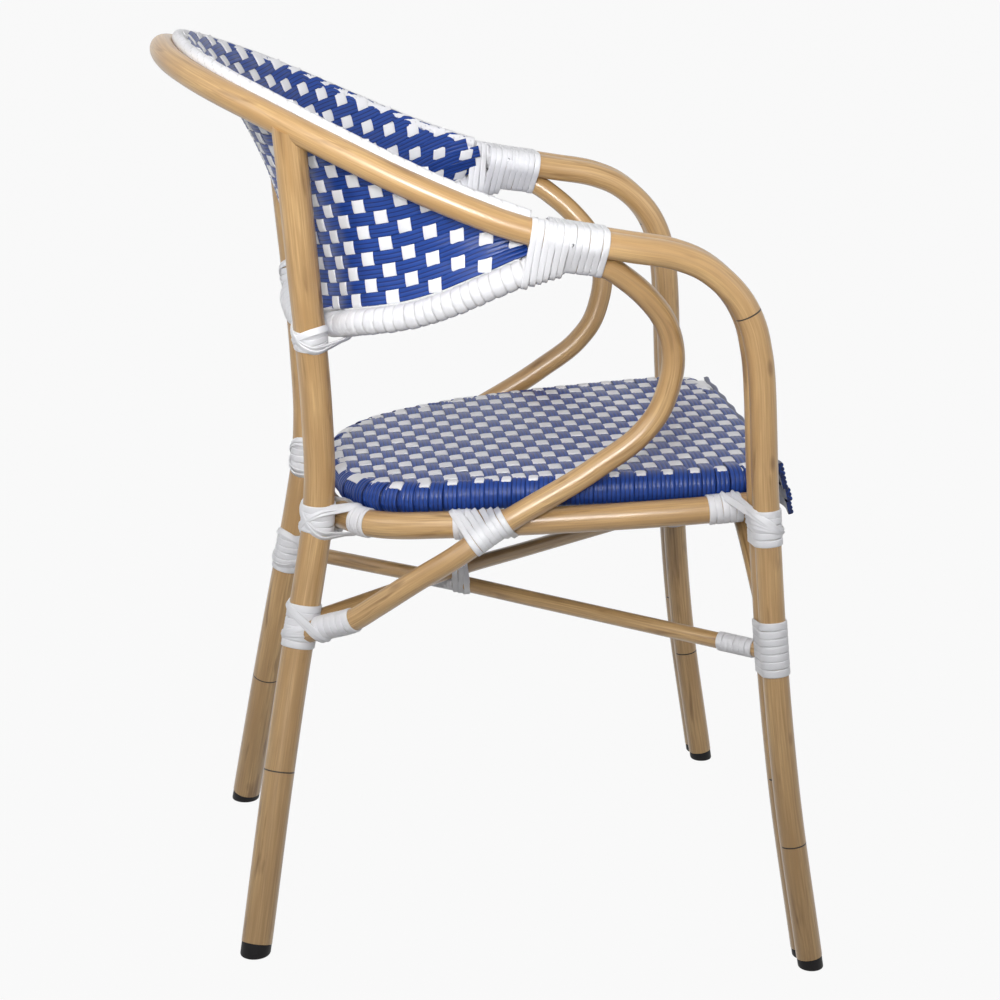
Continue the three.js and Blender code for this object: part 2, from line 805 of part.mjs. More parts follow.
// Edge rod of the back: on the inner, upper side of the hoop
const wrapHalf = (wrapLoops * (bandWidth + bandGap) + bandWidth) / 2 + bandGap;
const rodStart = jointS + wrapHalf;
const rodAngle = THREE.MathUtils.degToRad(34);
const rodSides = 8;
const weaveThickness = 3;
function besideHoop(s) {
  const t = framePath.tangent(s);
  const middle = V(0, armReach + wrapMiddleLead, 0);
  const inward = planNormal(framePath, s, 1);
  if (inward.dot(middle.sub(framePath.point(s))) < 0) {
    inward.negate();
  }
  const rise = t.clone().cross(inward);
  if (rise.z < 0) {
    rise.negate();
  }
  const reach = armTubeRadius + touchGap + topRodRadius;
  const rod = framePath.point(s);
  rod.addScaledVector(inward, reach * Math.cos(rodAngle)).addScaledVector(rise, reach * Math.sin(rodAngle));
  return { rod, inward };
}
const rodFirst = rodStart + shortestRun;
const rodStops = framePath.stops.filter((s) => s > rodFirst && s < framePath.length - rodFirst);
const rodPlaces = [rodStart, ...rodStops, framePath.length - rodStart];
const rodPath = new Path(rodPlaces.map((s) => besideHoop(s).rod), false);
add("back_edge_rod", tube(rodPath, 0, rodPath.length, topRodRadius, 0, rodSides), white);

// Woven back: a thin curved panel from the edge rod down to the lower rail
const backBulge = 50;
const bulgeEndShare = 0.2;
const panelLift = 1;
const panelRows = 4;
const lowerStart = lowerPath.where((p) => p.y, framePath.point(rodStart).y + bandWidth);
const panelRings = rodPlaces.map((s, i) => {
  const share = (s - rodStart) / (framePath.length - 2 * rodStart);
  const { rod, inward } = besideHoop(s);
  const top = rod.clone().addScaledVector(inward, topRodRadius + touchGap + weaveThickness / 2);
  const low = lowerPath.point(lowerStart + share * (lowerPath.length - 2 * lowerStart));
  const along = lowerPath.tangent(lowerStart + share * (lowerPath.length - 2 * lowerStart));
  const above = up.clone().addScaledVector(along, -along.z).normalize();
  low.addScaledVector(above, lowerRailRadius + panelLift);
  const bulge = backBulge * (bulgeEndShare + (1 - bulgeEndShare) * Math.sin(Math.PI * share) ** 2);
  const middle = top.clone().lerp(low, 0.5).addScaledVector(inward, bulge);
  const bend = new THREE.QuadraticBezierCurve3(top, middle, low).getPoints(panelRows);
  const outer = bend.map((p) => p.clone().addScaledVector(inward, -weaveThickness / 2));
  const inner = bend.map((p) => p.clone().addScaledVector(inward, weaveThickness / 2));
  return [...outer, ...inner.reverse()];
});
add("back_weave", skin(panelRings), blue);

// Strand lashings at the joints, with the number of loops of each
const legLoops = 4;
const railEndLoops = 2;
const braceLoops = 5;
const postLoops = 5;
const railPostLoops = 3;
const stretcherLoops = 4;
for (const [word, side] of sides) {
  const outer = { path: outerPath[word], radius: armTubeRadius };
  const inner = { path: innerPath[word], radius: armTubeRadius };
  const scroll = { path: scrollPath[word], radius: scrollRadius };
  const lower = { path: lowerPath, radius: lowerRailRadius };
  const leg = { path: backLegPath[word], radius: backLegRadius };
  const rail = { path: railPath, radius: seatRailRadius };
  const along = (path, target) => path.nearest(target);
  winding(`arm_wrap_${word}`, [outer, inner, scroll, lower], jointS, wrapLoops);
  const railAt = (share) => (side < 0 ? railSide(share) : railPath.length - railSide(share));
  const ahead = (path, s, step) => s + (side < 0 ? -step : step);
  const legMeet = railPath.point(railAt(railContactShare));
  const clear = (radius, loops) => lashedRadius(radius) + ((loops + 1) * (bandWidth + bandGap)) / 2;
  winding(`lash_leg_seat_${word}`, [leg], along(leg.path, legMeet), legLoops, 2 * bandGap);
  const railRear = ahead(railPath, railAt(railContactShare), clear(backLegRadius, railEndLoops));
  winding(`lash_rail_leg_${word}`, [rail], railRear, railEndLoops, bandGap);
  const level = (path, z) => path.where((p) => p.z, z);
  const backLevel = lowerPath.point(lowerPath.length / 2).z + bandWidth;
  winding(`lash_leg_back_${word}`, [leg], level(leg.path, backLevel), legLoops);
  winding(`lash_leg_brace_${word}`, [leg], level(leg.path, braceLevel + braceLashLead), legLoops);
  const braceEnd = scroll.path.length - clear(backLegRadius, railEndLoops) - 2 * bandWidth;
  winding(`lash_brace_leg_${word}`, [scroll], braceEnd, railEndLoops, bandGap / 2);
  const braceMeet = along(scroll.path, scrollMeet[word]) + bandWidth;
  winding(`lash_brace_rail_${word}`, [scroll], braceMeet, braceLoops);
  const beside = clear(scrollRadius, railEndLoops) + bandWidth;
  const railBrace = ahead(railPath, railAt(scrollContactShare), -beside);
  winding(`lash_rail_brace_${word}`, [rail], railBrace, railEndLoops);
  winding(`lash_post_seat_${word}`, [outer, inner], level(outer.path, railLevel - bandWidth), postLoops);
  const postSide = railPath.where((p) => p.y, postY + clear(armTubeRadius, railPostLoops));
  const railPost = side < 0 ? postSide : railPath.length - postSide;
  winding(`lash_rail_post_${word}`, [rail], railPost, railPostLoops);
  winding(`lash_post_foot_${word}`, [outer, inner], level(outer.path, stretcherFront), postLoops);
  const stretcher = { path: stretcherPath[side < 0 ? "lower" : "upper"], radius: stretcherRadius };
  const stretcherEnd = clear(armTubeRadius, stretcherLoops) + 2 * bandWidth;
  winding(`lash_stretcher_${word}`, [stretcher], stretcherEnd, stretcherLoops);
}
const behindCrossing = stretcherPath.lower.where((p) => p.x, 0) + 3 * stretcherRadius;
const lowerStretcher = { path: stretcherPath.lower, radius: stretcherRadius };
winding("lash_stretchers_middle", [lowerStretcher], behindCrossing, stretcherLoops);

// Least distance from one loop of a winding to the next
for (const [name, gap] of Object.entries(gaps)) {
  console.log(`${name}: least gap between loops ${gap.toFixed(2)} mm`);
}

// The origin is on the floor, in the middle of the chair's width and depth
const box = new THREE.Box3().setFromObject(chair);
chair.position.y = -(box.min.y + box.max.y) / 2;

export default chair;
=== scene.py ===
import math
from contextlib import contextmanager

import bpy
import numpy as np
from mathutils import Matrix, Vector
from mathutils.bvhtree import BVHTree


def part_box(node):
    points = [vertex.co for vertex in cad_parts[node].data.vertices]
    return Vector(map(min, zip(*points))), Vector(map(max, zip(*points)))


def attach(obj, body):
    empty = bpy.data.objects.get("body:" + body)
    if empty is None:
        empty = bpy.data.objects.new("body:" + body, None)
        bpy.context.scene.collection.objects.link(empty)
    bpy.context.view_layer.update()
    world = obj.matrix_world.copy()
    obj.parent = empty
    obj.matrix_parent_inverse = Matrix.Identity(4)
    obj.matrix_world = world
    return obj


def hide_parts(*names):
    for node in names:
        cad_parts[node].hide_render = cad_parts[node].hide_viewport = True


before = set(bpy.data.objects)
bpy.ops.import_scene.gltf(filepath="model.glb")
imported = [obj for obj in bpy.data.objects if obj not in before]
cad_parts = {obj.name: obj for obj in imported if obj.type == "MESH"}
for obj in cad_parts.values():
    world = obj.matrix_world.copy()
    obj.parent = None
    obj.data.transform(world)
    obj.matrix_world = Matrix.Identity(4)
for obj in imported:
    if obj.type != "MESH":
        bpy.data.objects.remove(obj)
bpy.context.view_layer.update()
mm = 0.001
scene = bpy.context.scene

# Camera: a long portrait lens, two and a half metres from the chair's right side,
# a little above the arms. Its place was fitted to the photograph's tubes and feet.
camera_place = (-2.47006, 0.26101, 1.06882)
camera_heading = math.radians(-6.676)
camera_down = 0.27084
camera_roll = 0.00074
camera_data = bpy.data.cameras.new("camera")
camera_data.lens = 95.096
camera_data.sensor_width = 36
camera = bpy.data.objects.new("camera", camera_data)
scene.collection.objects.link(camera)
flat = math.cos(camera_down)
sight = Vector((math.cos(camera_heading) * flat, math.sin(camera_heading) * flat, -math.sin(camera_down)))
aim = sight.to_track_quat("-Z", "Y").to_matrix().to_4x4() @ Matrix.Rotation(camera_roll, 4, "Z")
camera.matrix_world = Matrix.Translation(camera_place) @ aim
scene.camera = camera
scene.view_settings.view_transform = "Standard"


# Floor and light: a seamless studio sweep, which the camera sees as near white and which throws
# back a soft grey light, and even light from all round. A small gridded soft box stands near the
# camera, and three plain ones light the chair from above, from behind and from the front.
def colour(text):
    """An sRGB hex value as the linear colour that the shaders take."""
    parts = [int(text[i : i + 2], 16) / 255 for i in (0, 2, 4)]
    return [c / 12.92 if c < 0.04045 else ((c + 0.055) / 1.055) ** 2.4 for c in parts] + [1.0]


def add(tree, kind, inputs={}, **settings):
    """A shader node with its settings; an input is a value, an output socket or a node's first output."""
    node = tree.nodes.new("ShaderNode" + kind)
    for name, value in settings.items():
        setattr(node, name, value)
    for name, value in inputs.items():
        if isinstance(value, bpy.types.Node):
            value = next(output for output in value.outputs if output.enabled)
        if isinstance(value, bpy.types.NodeSocket):
            tree.links.new(value, node.inputs[name])
        else:
            node.inputs[name].default_value = value
    return node


def finish_of(name):
    """An empty material, and the node tree to fill."""
    made = bpy.data.materials.new(name)
    made.use_nodes = True
    made.node_tree.nodes.clear()
    return made, made.node_tree


def seen_by(tree, *kinds):
    """One for rays of these kinds, and nought for all the others."""
    rays = add(tree, "LightPath")
    seen = rays.outputs[f"Is {kinds[0]} Ray"]
    for kind in kinds[1:]:
        both = {0: seen, 1: rays.outputs[f"Is {kind} Ray"]}
        seen = add(tree, "Math", both, operation="MAXIMUM")
    return seen


bpy.ops.mesh.primitive_plane_add(size=30)
floor = bpy.context.object
floor.name = "studio_floor"
sweep_white = 0.94
sweep, tree = finish_of("painted_studio_sweep")
seen = seen_by(tree, "Camera", "Glossy")
matt = add(tree, "BsdfDiffuse", {"Color": colour("8a8a8a")})
glow = add(tree, "Emission", {"Color": colour("ffffff"), "Strength": 1.0})
share = add(tree, "Math", {0: seen, 1: sweep_white}, operation="MULTIPLY")
dim = add(tree, "MixShader", {0: share, 1: matt, 2: glow})
add(tree, "OutputMaterial", {"Surface": dim})
floor.data.materials.append(sweep)

air_light = 0.36
world = bpy.data.worlds.new("studio_air")
scene.world = world
world.use_nodes = True
tree = world.node_tree
tree.nodes.clear()
seen = seen_by(tree, "Camera", "Glossy", "Transmission")
level = add(tree, "MapRange", {"Value": seen, "To Min": air_light, "To Max": 1.0})
sky = add(tree, "Background", {"Color": colour("ffffff"), "Strength": level})
add(tree, "OutputWorld", {"Surface": sky})

# Each soft box: its place, the height that it is aimed at, its width, its spread in degrees, its watts
soft_boxes = {
    "soft_box_front": ((-2.0, 0.4, 1.25), 0.78, 0.7, 42, 2.7),
    "soft_box_top": ((-1.35, 0.55, 1.65), 0.45, 0.9, 180, 5),
    "soft_box_left": ((-1.0, 2.1, 2.1), 0.45, 1.2, 180, 12),
    "soft_box_right": ((-1.5, -2.4, 1.7), 0.45, 1.3, 180, 8),
}
for name, (place, aim_height, width, spread, watts) in soft_boxes.items():
    box_data = bpy.data.lights.new(name, "AREA")
    box_data.energy = watts
    box_data.shape = "DISK"
    box_data.size = width
    box_data.spread = math.radians(spread)
    soft_box = bpy.data.objects.new(name, box_data)
    scene.collection.objects.link(soft_box)
    soft_box.location = place
    toward = Vector((0, 0, aim_height)) - Vector(place)
    soft_box.rotation_euler = toward.to_track_quat("-Z", "Y").to_euler()


# Frame tubes: thin aluminium tube, bent, welded where one is coped to another, and printed
# and lacquered to look like rattan cane. The faceted tubes of the solid model give the
# middle lines, and each smooth tube here takes the place of one of them.
def got(items, name, size, kind=float):
    """A value of all these parts of a mesh, as rows of this size."""
    values = np.zeros(len(items) * size, kind)
    items.foreach_get(name, values)
    return values.reshape(-1, size)


def points_of(node):
    """Corners of a CAD node, in metres, merged, and its triangles."""
    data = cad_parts[node].data
    data.calc_loop_triangles()
    place, tris = got(data.vertices, "co", 3), got(data.loop_triangles, "vertices", 3, int)
    merged, index = np.unique(np.round(place, 6), axis=0, return_inverse=True)
    return merged, index.ravel()[tris]


def trace(node, radius, sides=10):
    """Middles of the regular rings that a CAD tube is made of, in order along it."""
    place, tris = points_of(node)
    edges = np.concatenate([tris[:, [0, 1]], tris[:, [1, 2]], tris[:, [2, 0]]])
    edges = np.unique(np.sort(edges, axis=1), axis=0)
    size = np.linalg.norm(place[edges[:, 0]] - place[edges[:, 1]], axis=1)
    facet, tolerance = 2 * radius * math.sin(math.pi / sides), 0.002 * mm
    round_edges = edges[np.abs(size - facet) < tolerance]
    label = np.arange(len(place))
    for _ in range(sides + 2):
        least = np.minimum(label[round_edges[:, 0]], label[round_edges[:, 1]])
        np.minimum.at(label, round_edges[:, 0], least)
        np.minimum.at(label, round_edges[:, 1], least)
    names, counts = np.unique(label, return_counts=True)
    middles = {name: place[label == name].mean(0) for name, count in zip(names, counts) if count == sides}
    links = {name: set() for name in middles}
    for one, other in label[edges]:
        if one != other and one in links and other in links:
            links[one].add(other)
            links[other].add(one)
    ends = [name for name in middles if len(links[name]) == 1]
    order = [ends[0] if ends else next(iter(middles))]
    while True:
        ahead = [name for name in links[order[-1]] if name not in order]
        if not ahead:
            return np.array([middles[name] for name in order])
        order.append(ahead[0])


def unit(v):
    """Directions of these vectors, one long."""
    return v / np.linalg.norm(v, axis=-1, keepdims=True)


def between(x, known, rows):
    """Rows known at some lengths, worked out at x between them, axis by axis."""
    return np.stack([np.interp(x, known, axis) for axis in rows.T], -1)


def lengths(points):
    """How far along a run of points each of them lies."""
    return np.concatenate([[0], np.cumsum(np.linalg.norm(np.diff(points, axis=0), axis=1))])


class Line:
    """A smooth line through points, sampled evenly, with its direction and length at each sample."""

    # How many times as long as the step beside it the curve's pull at a point may be
    steepest = 2.5

    def __init__(self, points, closed=False, step=1.5 * mm):
        points = np.asarray(points, float)
        if closed:
            points = np.vstack([points, points[:1]])
        chord = np.linalg.norm(np.diff(points, axis=0), axis=1)
        way = np.diff(points, axis=0) / chord[:, None]
        lead = np.vstack([way[:1], way[:-1] * chord[1:, None] + way[1:] * chord[:-1, None], way[-1:]])
        if closed:
            lead[0] = lead[-1] = way[-1] * chord[0] + way[0] * chord[-1]
        lead = unit(lead)
        run = []
        for k, size in enumerate(chord):
            before, after = chord[max(k - 1, 0)], chord[min(k + 1, len(chord) - 1)]
            t = np.linspace(0, 1, max(2, int(size / step) + 1), endpoint=False)[:, None]
            start = lead[k] * min(size, self.steepest * before)
            stop = lead[k + 1] * min(size, self.steepest * after)
            run.append(
                (2 * t**3 - 3 * t**2 + 1) * points[k]
                + (t**3 - 2 * t**2 + t) * start
                + (3 * t**2 - 2 * t**3) * points[k + 1]
                + (t**3 - t**2) * stop
            )
        run = np.vstack(run + [points[-1:]])
        far = lengths(run)
        self.length, self.closed = far[-1], closed
        # How far the tube itself may run on past the two ends of its line
        self.before = self.after = 6 * mm
        self.s = np.linspace(0, self.length, int(self.length / step) + 2)
        self.p = between(self.s, far, run)
        self.t = np.gradient(self.p, axis=0)
        if closed:
            self.t[0] = self.t[-1] = self.p[1] - self.p[-2]
        self.t = unit(self.t)

    def at(self, s):
        """Points and directions at these lengths; past an end the line goes on straight."""
        s = np.atleast_1d(np.asarray(s, float))
        inside = s % self.length if self.closed else np.clip(s, 0, self.length)
        p = between(inside, self.s, self.p)
        t = unit(between(inside, self.s, self.t))
        return p if self.closed else p + t * (s - inside)[:, None], t

    def near(self, q):
        """Lengths of the places on the line that are nearest to these points."""
        q = np.atleast_2d(q)
        k = np.array([((self.p - one) ** 2).sum(1).argmin() for one in q])
        return self.s[k] + ((q - self.p[k]) * self.t[k]).sum(1)

    def cross(self, place, along):
        """The place where the line crosses a plane, its direction there, and if the tube reaches it."""
        least_lean, reach = 0.3, 40 * mm
        k = ((self.p - place) ** 2).sum(1).argmin()
        lean = max(abs(self.t[k] @ along), least_lean)
        shift = ((place - self.p[k]) @ along) / lean * np.sign(self.t[k] @ along)
        s = self.s[k] + np.clip(shift, -reach, reach)
        p, t = self.at(s)
        return p[0], t[0], -self.before < s < self.length + self.after


def square_to(t):
    """Two directions square to each tangent, turned as little as possible from one to the next."""
    side = np.zeros_like(t)
    start = np.cross(t[0], (0, 0, 1) if abs(t[0][2]) < 0.9 else (0, 1, 0))
    for i, along in enumerate(t):
        start = start - along * (start @ along)
        start = start / np.linalg.norm(start)
        side[i] = start
    return side, np.cross(t, side)


def around(angle, side, rise):
    """Directions at these angles round a line, one row for each of its samples."""
    return np.cos(angle)[None, :, None] * side[:, None] + np.sin(angle)[None, :, None] * rise[:, None]


side_words = {"right": -1, "left": 1}
tube_radius = {
    "back_hoop": 12 * mm,
    "seat_rail": 12.5 * mm,
    "stretcher_lower": 7.5 * mm,
    "stretcher_upper": 7.5 * mm,
    "front_arch_brace": 7.5 * mm,
}
for word in side_words:
    for name, size in {"arm_outer": 12, "arm_inner": 12, "back_leg": 14.5, "scroll_brace": 10.5}.items():
        tube_radius[f"{name}_{word}"] = size * mm
lines = {}
for node, radius in tube_radius.items():
    middles = trace(node, radius)
    lines[node] = Line(middles if middles[0, 2] < middles[-1, 2] else middles[::-1])

# The arch has no regular ring at its feet, so their middles come from its outermost corners
past_bend, foot_sink = 10 * mm, 4 * mm
arch = trace("front_arch_brace", tube_radius["front_arch_brace"])
arch = arch if arch[0, 0] < arch[-1, 0] else arch[::-1]
corners = points_of("front_arch_brace")[0]
feet = [corners[corners[:, 0] < arch[0, 0] - past_bend], corners[corners[:, 0] > arch[-1, 0] + past_bend]]
feet = [(some.min(0) + some.max(0)) / 2 for some in feet]
feet = [foot + foot_sink * unit(foot - bend) for foot, bend in zip(feet, (arch[0], arch[-1]))]
lines["front_arch_brace"] = Line(np.vstack([feet[0], arch, feet[1]]))

# Tubes with a coped end, and the tubes that it may be coped to
coped_to = {
    "stretcher_lower": ("arm_inner_right", "back_leg_left"),
    "stretcher_upper": ("arm_inner_left", "back_leg_right"),
}
for word in side_words:
    coped_to |= {f"back_leg_{word}": ("back_hoop",), f"scroll_brace_{word}": (f"back_leg_{word}",)}
coped_ends = {}
for node, hosts in coped_to.items():
    line, corners = lines[node], points_of(node)[0]
    for last, way in ((0, -line.t[0]), (-1, line.t[-1])):
        ahead = (corners - line.p[last]) @ way
        aside = np.linalg.norm(corners - line.p[last] - ahead[:, None] * way, axis=1)
        beyond = (ahead > 0.5 * mm) & (aside < 1.3 * tube_radius[node])
        if not beyond.any():
            continue
        tip = corners[beyond][ahead[beyond].argmax()]
        gaps = {name: np.linalg.norm(lines[name].at(lines[name].near(tip))[0] - tip) for name in hosts}
        coped_ends[node, last] = min(gaps, key=gaps.get)
        setattr(line, "before" if last == 0 else "after", ahead[beyond].max())

low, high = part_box("front_cross_rail")
cross_middle = (low + high) / 2
lines["front_cross_rail"] = Line([(x, cross_middle.y, cross_middle.z) for x in (low.x, 0, high.x)])
tube_radius["front_cross_rail"] = 9 * mm


def place_piece(piece, finish, slot, *nodes):
    """The last steps of every piece: its finishes, the nodes it stands for and its body. The slot is not
    used.
    """
    for one in finish if isinstance(finish, list) else [finish]:
        piece.data.materials.append(one)
    if nodes:
        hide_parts(*nodes)
    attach(piece, "root")


@contextmanager
def editing():
    """Opens all of the newest piece's mesh to edits, and turns its faces outwards at the end."""
    bpy.ops.object.mode_set(mode="EDIT")
    bpy.ops.mesh.select_all(action="SELECT")
    yield
    bpy.ops.mesh.normals_make_consistent(inside=False)
    bpy.ops.object.mode_set(mode="OBJECT")


def rolled(name, rings, lay, marked=None):
    """A flat grid rolled into a tube: one row of the grid for each ring, welded along the seam.
    The lay is the place of each point in the pattern of the finish."""
    lay = np.stack(np.broadcast_arrays(*lay), -1)
    count, sides = rings.shape[0] - 1, rings.shape[1] - 1
    bpy.ops.mesh.primitive_grid_add(x_subdivisions=sides, y_subdivisions=count, size=1, calc_uvs=False)
    piece = bpy.context.object
    piece.name = piece.data.name = name
    data = piece.data
    flat_place = got(data.vertices, "co", 3) + 0.5
    across = np.rint(flat_place[:, 0] * sides).astype(int)
    along = np.rint(flat_place[:, 1] * count).astype(int)
    data.vertices.foreach_set("co", rings[along, across].ravel())
    data.attributes.new("lay", "FLOAT_VECTOR", "POINT").data.foreach_set("vector", lay[along, across].ravel())
    if marked is not None:
        faces = got(data.polygons, "vertices", 4, int)
        drawn = marked[along[faces].min(1), across[faces].min(1)]
        data.polygons.foreach_set("material_index", drawn.astype(int))
    with editing():
        bpy.ops.mesh.remove_doubles(threshold=0.01 * mm)
        bpy.ops.mesh.fill_holes(sides=0)
    bpy.ops.object.shade_smooth_by_angle(angle=math.radians(60))
    return piece


def coped(ring, way, host, radius):
    """The end of a tube, each point run on until it meets the tube that it is coped to."""
    met = []
    for q in ring:
        c, a = (v[0] for v in host.at(host.near(q)))
        w = way - a * (way @ a)
        d = (q - c) - a * ((q - c) @ a)
        size, half, rest = w @ w, w @ d, d @ d - radius**2
        root = half**2 - size * rest
        h = (-half - math.sqrt(root)) / size if root > 0 else -half / size
        met.append(q + way * max(h, 0))
    return np.array(met)


# The print on the lacquer: honey-coloured cane with fine long grain, darker smudges and a few
# small knots, under a smooth clear coat. The grain runs along each tube, round all its bends.
# The scales count per metre: grain 1.6 mm wide, tones 13 mm, smudges 9 mm, knots 42 mm apart.
cane, tree = finish_of("lacquered_cane_print")
lay = add(tree, "Attribute", attribute_name="lay").outputs["Vector"]
fine_lay, broad_lay, knot_lay = (
    add(tree, "Mapping", {"Vector": lay, "Scale": (1, 1, squeeze)})
    for squeeze in (0.025, 0.12, 0.45)
)
fine = add(tree, "TexNoise", {"Vector": fine_lay, "Scale": 620.0, "Detail": 3.0, "Roughness": 0.6})
broad = add(tree, "TexNoise", {"Vector": broad_lay, "Scale": 75.0, "Detail": 2.0})
smudge = add(tree, "TexNoise", {"Vector": broad_lay, "Scale": 110.0, "Detail": 2.5, "Distortion": 0.6})
knot = add(tree, "TexVoronoi", {"Vector": knot_lay, "Scale": 24.0, "Randomness": 1.0})
ranges = {
    "tone": (broad, 0.32, 0.68, 0.0, 1.0),
    "streak": (fine, 0.34, 0.68, 0.0, 1.0),
    "stain": (smudge, 0.6, 0.74, 0.0, 0.8),
    "speck": (knot, 0.035, 0.1, 0.6, 0.0),
}
amount = {}
for name, values in ranges.items():
    inputs = dict(zip(("Value", "From Min", "From Max", "To Min", "To Max"), values))
    amount[name] = add(tree, "MapRange", inputs)
honey = add(tree, "Mix", {0: amount["tone"], 6: colour("b18a56"), 7: colour("d2ae79")}, data_type="RGBA")
printed = add(tree, "Mix", {0: amount["streak"], 6: colour("a98556"), 7: honey}, data_type="RGBA")
for name, tint in (("stain", "7c5931"), ("speck", "6e4a26")):
    printed = add(tree, "Mix", {0: amount[name], 6: printed, 7: colour(tint)}, data_type="RGBA")
gloss = add(tree, "MapRange", {"Value": broad, "To Min": 0.34, "To Max": 0.46})
relief = add(tree, "Bump", {"Height": fine, "Strength": 0.12, "Distance": 0.1 * mm})
lacquered = {"Base Color": printed, "Roughness": gloss, "Coat Weight": 0.5, "Coat Roughness": 0.22}
shader = add(tree, "BsdfPrincipled", {**lacquered, "Normal": relief})
add(tree, "OutputMaterial", {"Surface": shader})

# A node of the cane is a thin line in brown-black ink, a little worn, drawn part of the way round
ink, tree = finish_of("brown_ink_line")
lay = add(tree, "Attribute", attribute_name="lay")
wear = add(tree, "TexNoise", {"Vector": lay.outputs["Vector"], "Scale": 400.0})
worn = add(tree, "Mix", {0: wear, 6: colour("17110c"), 7: colour("3a2a1b")}, data_type="RGBA")
shader = add(tree, "BsdfPrincipled", {"Base Color": worn, "Roughness": 0.45})
add(tree, "OutputMaterial", {"Surface": shader})

# Heights of the lines above the floor, in metres
ink_width = 1.4 * mm
ink_heights = {
    "arm_outer_right": (0.122, 0.609),
    "arm_inner_right": (0.178,),
    "arm_outer_left": (0.187, 0.6105),
    "arm_inner_left": (0.129,),
    "back_leg_right": (0.166,),
    "back_leg_left": (0.153,),
}
ring_step = 6 * mm
weld_sink = 0.6 * mm
angle = np.linspace(0, 2 * math.pi, 27)
# Each tube starts at another place in the print, so that no two look alike
lay_shift = 3.7


def lengthened(rows, more, last):
    """Rows with more put on after the last one, or in turned order before the first one."""
    return np.concatenate([more[::-1], rows] if last == 0 else [rows, more])


for order, (node, radius) in enumerate(tube_radius.items()):
    line = lines[node]
    stations = list(np.linspace(0, line.length, int(line.length / ring_step) + 2))
    inked = []
    for height in ink_heights.get(node, ()):
        rising = line.s[: line.p[:, 2].argmax()]
        s = rising[np.abs(line.at(rising)[0][:, 2] - height).argmin()]
        stations = [v for v in stations if abs(v - s) > 2 * ink_width]
        stations += [s - ink_width / 2, s + ink_width / 2]
        inked.append(s)
    far = np.array(sorted(stations))
    p, t = line.at(far)
    round_way = around(angle, *square_to(t))
    rings = p[:, None] + radius * round_way
    for last, way in ((0, -t[0]), (-1, t[-1])):
        if (node, last) not in coped_ends:
            continue
        other = coped_ends[node, last]
        goal = coped(rings[last], way, lines[other], tube_radius[other] - weld_sink)
        run = np.linalg.norm(goal - rings[last], axis=1).mean()
        steps = max(1, int(run / ring_step))
        shares = np.arange(1, steps + 1) / steps
        more = rings[last] + (goal - rings[last]) * shares[:, None, None]
        beside = far[last] + run * shares * (-1 if last == 0 else 1)
        rings, far = lengthened(rings, more, last), lengthened(far, beside, last)
        round_way = lengthened(round_way, np.repeat(round_way[last][None], steps, axis=0), last)
    lay_map = radius * np.cos(angle), radius * np.sin(angle), (far + lay_shift * order)[:, None]
    marked = np.zeros(rings.shape[:2], bool)
    for s in inked:
        # The line is drawn round the side that faces the chair's right and a little past it
        row = int(np.abs(far - (s - ink_width / 2)).argmin())
        shown_way = np.array([-0.86, 0.5 if "back" in node else -0.5, 0])
        marked[row] = round_way[row] @ shown_way > -0.35
    place_piece(rolled(f"tube_{node}", rings, lay_map, marked), [cane, ink], "bamboo_tube", node)


# Foot caps: moulded black rubber plugs in the tube ends, cut level with the floor, their lower
# edge a little rounded. The rubber is matt, charcoal where dust lies on it and finely pored.
rubber, tree = finish_of("moulded_black_rubber")
own = add(tree, "TexCoord")
pores = add(tree, "TexNoise", {"Vector": own.outputs["Object"], "Scale": 1400.0, "Detail": 2.0})
dust = add(tree, "TexNoise", {"Vector": own.outputs["Object"], "Scale": 160.0, "Detail": 2.0})
black = add(tree, "Mix", {0: dust, 6: colour("0e0d0e"), 7: colour("1f1d1e")}, data_type="RGBA")
relief = add(tree, "Bump", {"Height": pores, "Strength": 0.15, "Distance": 0.1 * mm})
matt = {"Base Color": black, "Roughness": 0.5, "Specular IOR Level": 0.2, "Normal": relief}
shader = add(tree, "BsdfPrincipled", matt)
add(tree, "OutputMaterial", {"Surface": shader})

into_tube, cut_off, cap_inset = 4 * mm, 8 * mm, 0.4 * mm
for word in side_words:
    for cap_name, tube_name in (("outer", "arm_outer"), ("inner", "arm_inner"), ("back", "back_leg")):
        node = f"{tube_name}_{word}"
        p, t = (v[0] for v in lines[node].at(0))
        foot = p - t * (p[2] / t[2])
        depth = np.linalg.norm(p - foot) + into_tube
        bpy.ops.mesh.primitive_cylinder_add(
            vertices=40, radius=tube_radius[node] - cap_inset, depth=depth + cut_off
        )
        piece = bpy.context.object
        piece.name = piece.data.name = f"cap_{cap_name}_{word}"
        lean = Vector(t).to_track_quat("Z", "Y").to_matrix().to_4x4()
        middle = Vector(foot + t * (depth - cut_off) / 2)
        piece.data.transform(Matrix.Translation(middle) @ lean)
        with editing():
            bpy.ops.mesh.bisect(plane_co=(0, 0, 0), plane_no=(0, 0, -1), clear_outer=True, use_fill=True)
        bevel = piece.modifiers.new("soft_edge", "BEVEL")
        bevel.width, bevel.segments = 2.2 * mm, 4
        bevel.limit_method, bevel.angle_limit = "ANGLE", math.radians(50)
        bpy.ops.object.modifier_apply(modifier=bevel.name)
        bpy.ops.object.shade_smooth_by_angle(angle=math.radians(40))
        place_piece(piece, rubber, "black_cap", f"foot_cap_{cap_name}_{word}")
